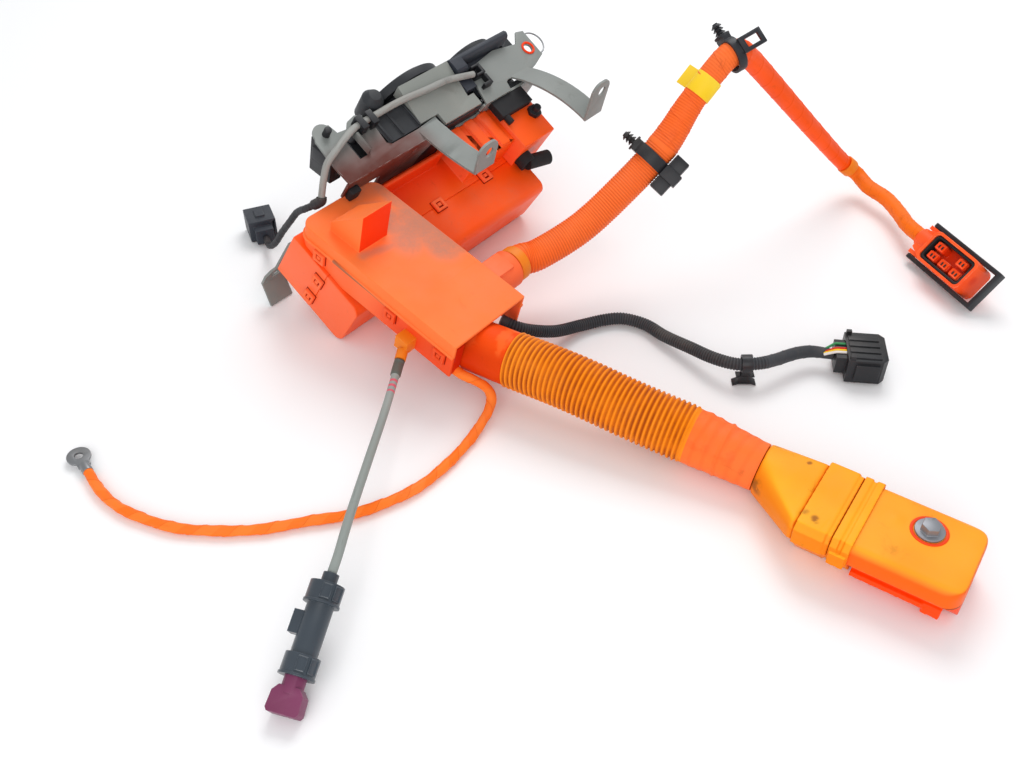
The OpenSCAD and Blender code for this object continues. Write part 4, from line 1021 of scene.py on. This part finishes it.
class SOCKET_OT_signal_conduit(bpy.types.Operator):
    """Black corrugated conduit of the signal branch, taped before its connector"""

    bl_idname = "socket.signal_conduit"
    bl_label = "Signal conduit"

    def execute(self, context):
        s = context.scene.socket_sizes
        line = fair_line(on_bench(SIGNAL_ROUTE), s.signal_pitch / 5)
        length = line[-1][1]
        taped = length - 0.060
        under_tape, narrower, last = 0.0049, 0.0008, 0.02
        corrugation = ribs(s.signal_conduit / 2, depth=0.0006, pitch=s.signal_pitch, start=0.004,
                           end=taped, fade=0.004, flat=0.8)

        def shape(way, turn):
            radius, deep = corrugation(way)
            if way > taped:
                radius = under_tape + lap(way, turn, 0.012, high=0.00025)
                radius -= narrower * max(0.0, (way - length + last) / last)
            return radius, deep

        made = tube("signal_conduit_ribbed", line, shape, 28)
        give(made, tube_material("Signal conduit black", (60, 62, 66), (20, 20, 22), groove=0.9,
                                 grime=0.0, dust=0.2, rough=(0.36, 0.56)))
        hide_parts("signal_conduit")
        return {"FINISHED"}


class SOCKET_OT_ground_wire(bpy.types.Operator):
    """Ground wire in spiral tape"""

    bl_idname = "socket.ground_wire"
    bl_label = "Ground wire"

    def execute(self, context):
        s = context.scene.socket_sizes
        line = fair_line(on_bench(GROUND_ROUTE), 0.0006)
        tape_turn = 0.024

        def shape(way, turn):
            lump = 0.00018 * math.sin(way * 190) + 0.00012 * math.sin(way * 530 + 2 * math.pi * turn)
            tape = lap(way, turn, tape_turn, high=0.00028, at=0.05)
            return s.ground_wire / 2 - 0.0001 + lump + tape, 0.0

        made = tube("ground_wire_taped", line, shape, 22)
        give(made, tube_material("Ground wire tape", (250, 114, 28), (216, 88, 24), tape=tape_turn,
                                 lighter=(253, 140, 58), grime=0.25, fleck=0.15, dust=0.1))
        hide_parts("ground_wire")
        return {"FINISHED"}


class SOCKET_OT_release_cable(bpy.types.Operator):
    """Grey release cable with its ferrule and three marking rings"""

    bl_idname = "socket.release_cable"
    bl_label = "Release cable"

    def execute(self, context):
        s = context.scene.socket_sizes
        line = fair_line(on_bench(RELEASE_ROUTE), 0.0008)
        ferrule, full_to, proud = 0.017, 0.015, 0.0009

        def shape(way, turn):
            radius = s.release_cable / 2
            if way < ferrule:
                radius += proud if way < full_to else proud * (ferrule - way) / (ferrule - full_to)
            return radius, 0.0

        made = tube("release_cable_sheath", line, shape, 24)
        pink = (206, 92, 108)
        stripes = ((0.0, 0.0165, (96, 96, 90)), (0.022, 0.0245, pink), (0.0275, 0.030, pink),
                   (0.0335, 0.0355, pink))
        give(made, tube_material("Release sheath", (142, 148, 144), (104, 110, 106), grime=0.2,
                                 fleck=0.35, dust=0.1, stripes=stripes))
        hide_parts("release_cable")
        return {"FINISHED"}


class SOCKET_OT_inlet_leads(bpy.types.Operator):
    """Grey lead over the bracket and its black tail"""

    bl_idname = "socket.inlet_leads"
    bl_label = "Inlet leads"

    def execute(self, context):
        s = context.scene.socket_sizes
        line = fair_line(on_bench(LEAD_ROUTE), 0.0008)
        made = tube("inlet_lead_sheath", line, lambda way, turn: (s.inlet_lead / 2, 0.0), 22, (0, 1, 0))
        give(made, tube_material("Inlet lead grey", (150, 150, 146), (104, 100, 94), fleck=0.35,
                                 dust=0.3))
        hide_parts("inlet_lead")

        line = fair_line(on_bench(TAIL_ROUTE), 0.0008)
        tape_turn = 0.011

        def shape(way, turn):
            sleeve = 0.0013 if way < 0.013 else 0.0
            return 0.0028 + sleeve + lap(way, turn, tape_turn, high=0.0002, at=0.05, wide=0.07), 0.0

        made = tube("inlet_lead_tail", line, shape, 20, (1, 0, 0))
        give(made, tube_material("Tail wrap black", (46, 46, 50), (24, 24, 26), tape=tape_turn,
                                 grime=0.0, dust=0.3))
        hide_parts("lead_tail")
        return {"FINISHED"}


class SOCKET_OT_bracket(bpy.types.Operator):
    """Pressed steel bracket, its arms and foot"""

    bl_idname = "socket.bracket"
    bl_label = "Bracket"

    def execute(self, context):
        edge = context.scene.socket_sizes.sheet_edge
        for node in ("front_plate", "left_bracket", "right_bracket", "foot_bracket"):
            moulded(node, node + "_pressed", MATERIALS["steel"], edge)
        moulded("wire_loop", "wire_loop_bent", MATERIALS["zinc"], edge=0.0001, steps=1, angle=60)
        return {"FINISHED"}


class SOCKET_OT_inlets(bpy.types.Operator):
    """DC and AC inlet with contacts, caps, hinges and lock"""

    bl_idname = "socket.inlets"
    bl_label = "Inlets"

    def execute(self, context):
        all_moulded(
            ("dc_inlet_shell", "black", 0.0010), ("ac_inlet_shell", "black", 0.0010),
            ("dc_contact_block", "dark clip", 0.0006), ("ac_contact_block", "dark clip", 0.0006),
            ("dc_pins", "brass", 0.0004), ("ac_pins", "brass", 0.0003),
            ("inlet_screws", "zinc", 0.0005), ("dc_cap", "black", 0.0012), ("ac_cap", "black", 0.0012),
            ("hinge_pins", "zinc", 0.0003), ("lock_actuator", "slate", 0.0022),
            ("lock_pin", "zinc", 0.0003), ("inlet_hood", "hood", 0.0008),
            ("hinge_surround", "black", 0.0004), ("rubber_mount", "rubber", 0.0022),
            ("rubber_buffer", "rubber", 0.0015), ("cable_holder", "dark clip", 0.0006),
            ("cable_clips", "dark clip", 0.0009), ("box_connector", "dark clip", 0.0010))
        return {"FINISHED"}


class SOCKET_OT_housing(bpy.types.Operator):
    """Two-shell housing behind the inlets"""

    bl_idname = "socket.housing"
    bl_label = "Housing"

    def execute(self, context):
        edge = context.scene.socket_sizes.moulding_edge
        for node in ("front_shell", "rear_cover", "ac_rear_housing"):
            moulded(node, node + "_moulded", MATERIALS["housing"], edge, 3)
        all_moulded(("housing_studs", "dark clip", 0.0004), ("drain_nozzle", "rubber", 0.0012))
        return {"FINISHED"}


class SOCKET_OT_duct(bpy.types.Operator):
    """Cable duct with its snap-on cover, clips and outlets"""

    bl_idname = "socket.duct"
    bl_label = "Duct"

    def execute(self, context):
        M = MATERIALS
        wall = context.scene.socket_sizes.moulding_edge

        def mould(node, finish, edge=wall, steps=3):
            moulded(node, node + "_moulded", M[finish], edge, steps)

        mould("duct_tray", "tray")
        mould("duct_cover", "duct")
        mould("snap_clips", "tray", 0.0005, 2)
        # Web across the mouth, coloured in painted shade
        block("mouth_web", DUCT @ shift(0.0062, 0.0009, -0.0190), (0.0104, 0.0010, 0.0280), M["web"])
        stand = turned(90, "X")
        lie = turned(90, "Y") @ stand
        height, right_wall = -0.0165, 0.078
        loops = [DUCT @ shift(0, n, height) for n in (0.012, 0.062, 0.137)]
        loops += [DUCT @ shift(right_wall, n, height) @ turned(180, "Z") for n in (0.072, 0.120)]
        loops += [HEAD @ shift(u, -0.0525, -0.041) @ lie for u in (0.123, 0.181)]
        loops += [HEAD @ shift(-0.003, -0.048, v) @ stand for v in (-0.055, -0.080)]
        for k, loop in enumerate(loops, 1):
            # Painted shade: a thin dark red sheet round each loop and one behind its catch, for the
            # gaps
            block(f"snap_line_{k}", loop @ shift(-0.0002, 0, -0.0020), (0.0004, 0.0122, 0.0112),
                  M["slot"])
            block(f"snap_slot_{k}", loop @ shift(-0.0012, 0, -0.00175), (0.0004, 0.0056, 0.0055),
                  M["slot"])
            block(f"snap_catch_{k}", loop @ shift(-0.0018, 0, -0.0020), (0.0016, 0.0034, 0.0030),
                  M["tray"], cut=0.0004)
        mould("outlet_nozzle", "tray")
        mould("dc_collar", "collar", 0.0012)
        return {"FINISHED"}


class SOCKET_OT_dc_connector(bpy.types.Operator):
    """DC connector: boot, sleeve, strap, body and captive bolt"""

    bl_idname = "socket.dc_connector"
    bl_label = "DC connector"

    def execute(self, context):
        M = MATERIALS
        for node, grid, rounds in (
            ("dc_boot", 0.0012, 16), ("dc_clamp_sleeve", 0.0007, 7), ("dc_strap", 0.0006, 3),
        ):
            soft_form(node, node + "_moulded", M["boot"], grid, rounds)
        bolt = (0.0087, -0.029)
        middle = DC_PLUG @ Vector((*bolt, 0.0))
        seam, over, recess = 0.0240, 0.004, 0.0145

        def share(place):
            """The upper half runs soft, clear of the bolt's recess."""
            clear = (place - middle).xy.length > recess
            return min(1.0, max(0.0, (place.z - seam) / over)) if clear else 0.0

        soft_form("dc_connector_body", "dc_connector_body_moulded", M["dc body"], grid=0.0009,
                  rounds=90, share=share)
        seat("dc_bolt_seat", DC_PLUG @ shift(*bolt, 0.0379), radius=0.0122, bore=0.0100, height=0.0012,
             material=M["red"])
        moulded("dc_bolt", "dc_bolt_plated", M["bolt"], 0.0006)
        return {"FINISHED"}


class SOCKET_OT_ac_connector(bpy.types.Operator):
    """AC connector with seal, contact carriers and lever"""

    bl_idname = "socket.ac_connector"
    bl_label = "AC connector"

    def execute(self, context):
        M = MATERIALS
        moulded("ac_connector_body", "ac_connector_body_moulded", M["ac body"], 0.0010, 3)
        all_moulded(("ac_connector_seal", "rubber", 0.0006), ("ac_lever", "dark clip", 0.0009))
        upper, lower = 0.0046, -0.0048
        cells = ((-0.0135, upper), (0.012, upper), (-0.0135, lower), (0.0, lower), (0.0135, lower))
        slot = 0
        for k, (x, y) in enumerate(cells, 1):
            block(f"ac_contact_carrier_{k}", AC_PLUG @ shift(0.003 + x, y, 0.0154),
                  (0.0092, 0.0060, 0.0020), M["red"], cut=0.0004, inset=0.0013, push=-0.0009)
            for side in (-0.0017, 0.0017):
                slot += 1
                block(f"ac_contact_slot_{slot}", AC_PLUG @ shift(0.003 + x + side, y, 0.0158),
                      (0.0013, 0.0028, 0.0006), M["rubber"], cut=0.0001)
        return {"FINISHED"}


class SOCKET_OT_fittings(bpy.types.Operator):
    """Bands, clips, tag, signal connector, ring terminal and release pull"""

    bl_idname = "socket.fittings"
    bl_label = "Fittings"

    def execute(self, context):
        M = MATERIALS
        all_moulded(
            ("ac_bands", "clip amber", 0.0005), ("fir_clips", "dark clip", 0.0005),
            ("ac_tag", "tag", 0.0002), ("signal_clip", "dark clip", 0.0004),
            ("signal_connector", "dark clip", 0.0012), ("ring_terminal", "zinc", 0.0004),
            ("lead_connector", "slate", 0.0014), ("release_clip", "clip amber", 0.0008),
            ("release_housing", "release", 0.0007), ("pull_toggle", "maroon", 0.0012))
        clip, beyond = on_bench(AC_ROUTE[4:6])
        ahead = beyond - clip
        grip = (Matrix.Translation(clip) @ Matrix.Rotation(math.atan2(ahead.y, ahead.x), 4, "Z")
                @ Matrix.Rotation(math.acos(ahead.z / ahead.length), 4, "Y")
                @ shift(0, 0, 0.031) @ turned(-50, "Z"))
        for k, z in enumerate((-0.0095, 0.0095)):
            block(f"double_clip_web_{k + 1}", grip @ shift(0.0150, 0, z), (0.0024, 0.0150, 0.0130),
                  M["dark clip"], cut=0.0006)
            for j, y in enumerate((-0.0048, 0.0048), 1):
                block(f"double_clip_prong_{2 * k + j}", grip @ shift(0.0204, y, z),
                      (0.0120, 0.0054, 0.0130), M["dark clip"], cut=0.0008)
        hoop("wing_eye", HEAD @ shift(0.280, 0.015, 0.0002), radius=0.0054, thick=0.0011,
             material=M["red"])
        for k, x in enumerate((0.0135, 0.0575)):
            for j, turn in enumerate((20, 62), 1):
                place = PULL @ turned(-turn, "X") @ shift(x - 0.0008, 0, 0.0107)
                block(f"release_window_{2 * k + j}", place, (0.0092, 0.0062, 0.0014), M["release"],
                      cut=0.0003, inset=0.0012, push=-0.0010)
        for key, y, reach in (("wire red", -0.0005, 0.0), ("wire yellow", -0.0028, 0.0),
                              ("wire white", -0.0050, 0.001), ("wire green", 0.0050, -0.002)):
            bends = ((-0.031, 0.55 * y, 0.0155), (-0.0262, 0.8 * y, 0.0186), (-0.0225, y, 0.0207),
                     (-0.0175 + reach, y, 0.0208), (-0.0148, y, 0.0208))
            line = fair_line([SIGNAL_PLUG @ Vector(b) for b in bends], 0.0004)
            made = tube("signal_" + key.replace(" ", "_"), line, lambda way, turn: (0.0010, 0.0), 12)
            give(made, M[key])
        return {"FINISHED"}


class SOCKET_PT_panel(bpy.types.Panel):
    bl_idname = "SOCKET_PT_panel"
    bl_label = "Charging Socket"
    bl_space_type = "VIEW_3D"
    bl_region_type = "UI"
    bl_category = "Charging Socket"

    def draw(self, context):
        sizes, colours = context.scene.socket_sizes, context.scene.socket_colours
        for name in SocketSizes.__annotations__:
            self.layout.prop(sizes, name)
        for name in SocketColours.__annotations__:
            self.layout.prop(colours, name)
        for operator in STEPS:
            self.layout.operator(operator.bl_idname)


STEPS = (
    SOCKET_OT_studio, SOCKET_OT_dc_conduit, SOCKET_OT_ac_conduit, SOCKET_OT_signal_conduit,
    SOCKET_OT_ground_wire, SOCKET_OT_release_cable, SOCKET_OT_inlet_leads, SOCKET_OT_bracket,
    SOCKET_OT_inlets, SOCKET_OT_housing, SOCKET_OT_duct, SOCKET_OT_dc_connector,
    SOCKET_OT_ac_connector, SOCKET_OT_fittings,
)
CLASSES = (SocketSizes, SocketColours, *STEPS, SOCKET_PT_panel)


def register():
    for made in CLASSES:
        bpy.utils.register_class(made)
    bpy.types.Scene.socket_sizes = PointerProperty(type=SocketSizes)
    bpy.types.Scene.socket_colours = PointerProperty(type=SocketColours)


def unregister():
    del bpy.types.Scene.socket_colours
    del bpy.types.Scene.socket_sizes
    for made in reversed(CLASSES):
        bpy.utils.unregister_class(made)


def main():
    register()
    prepare_groups()
    prepare_materials()
    for step in STEPS:
        getattr(bpy.ops.socket, step.bl_idname.split(".")[1])()


if __name__ == "__main__":
    main()
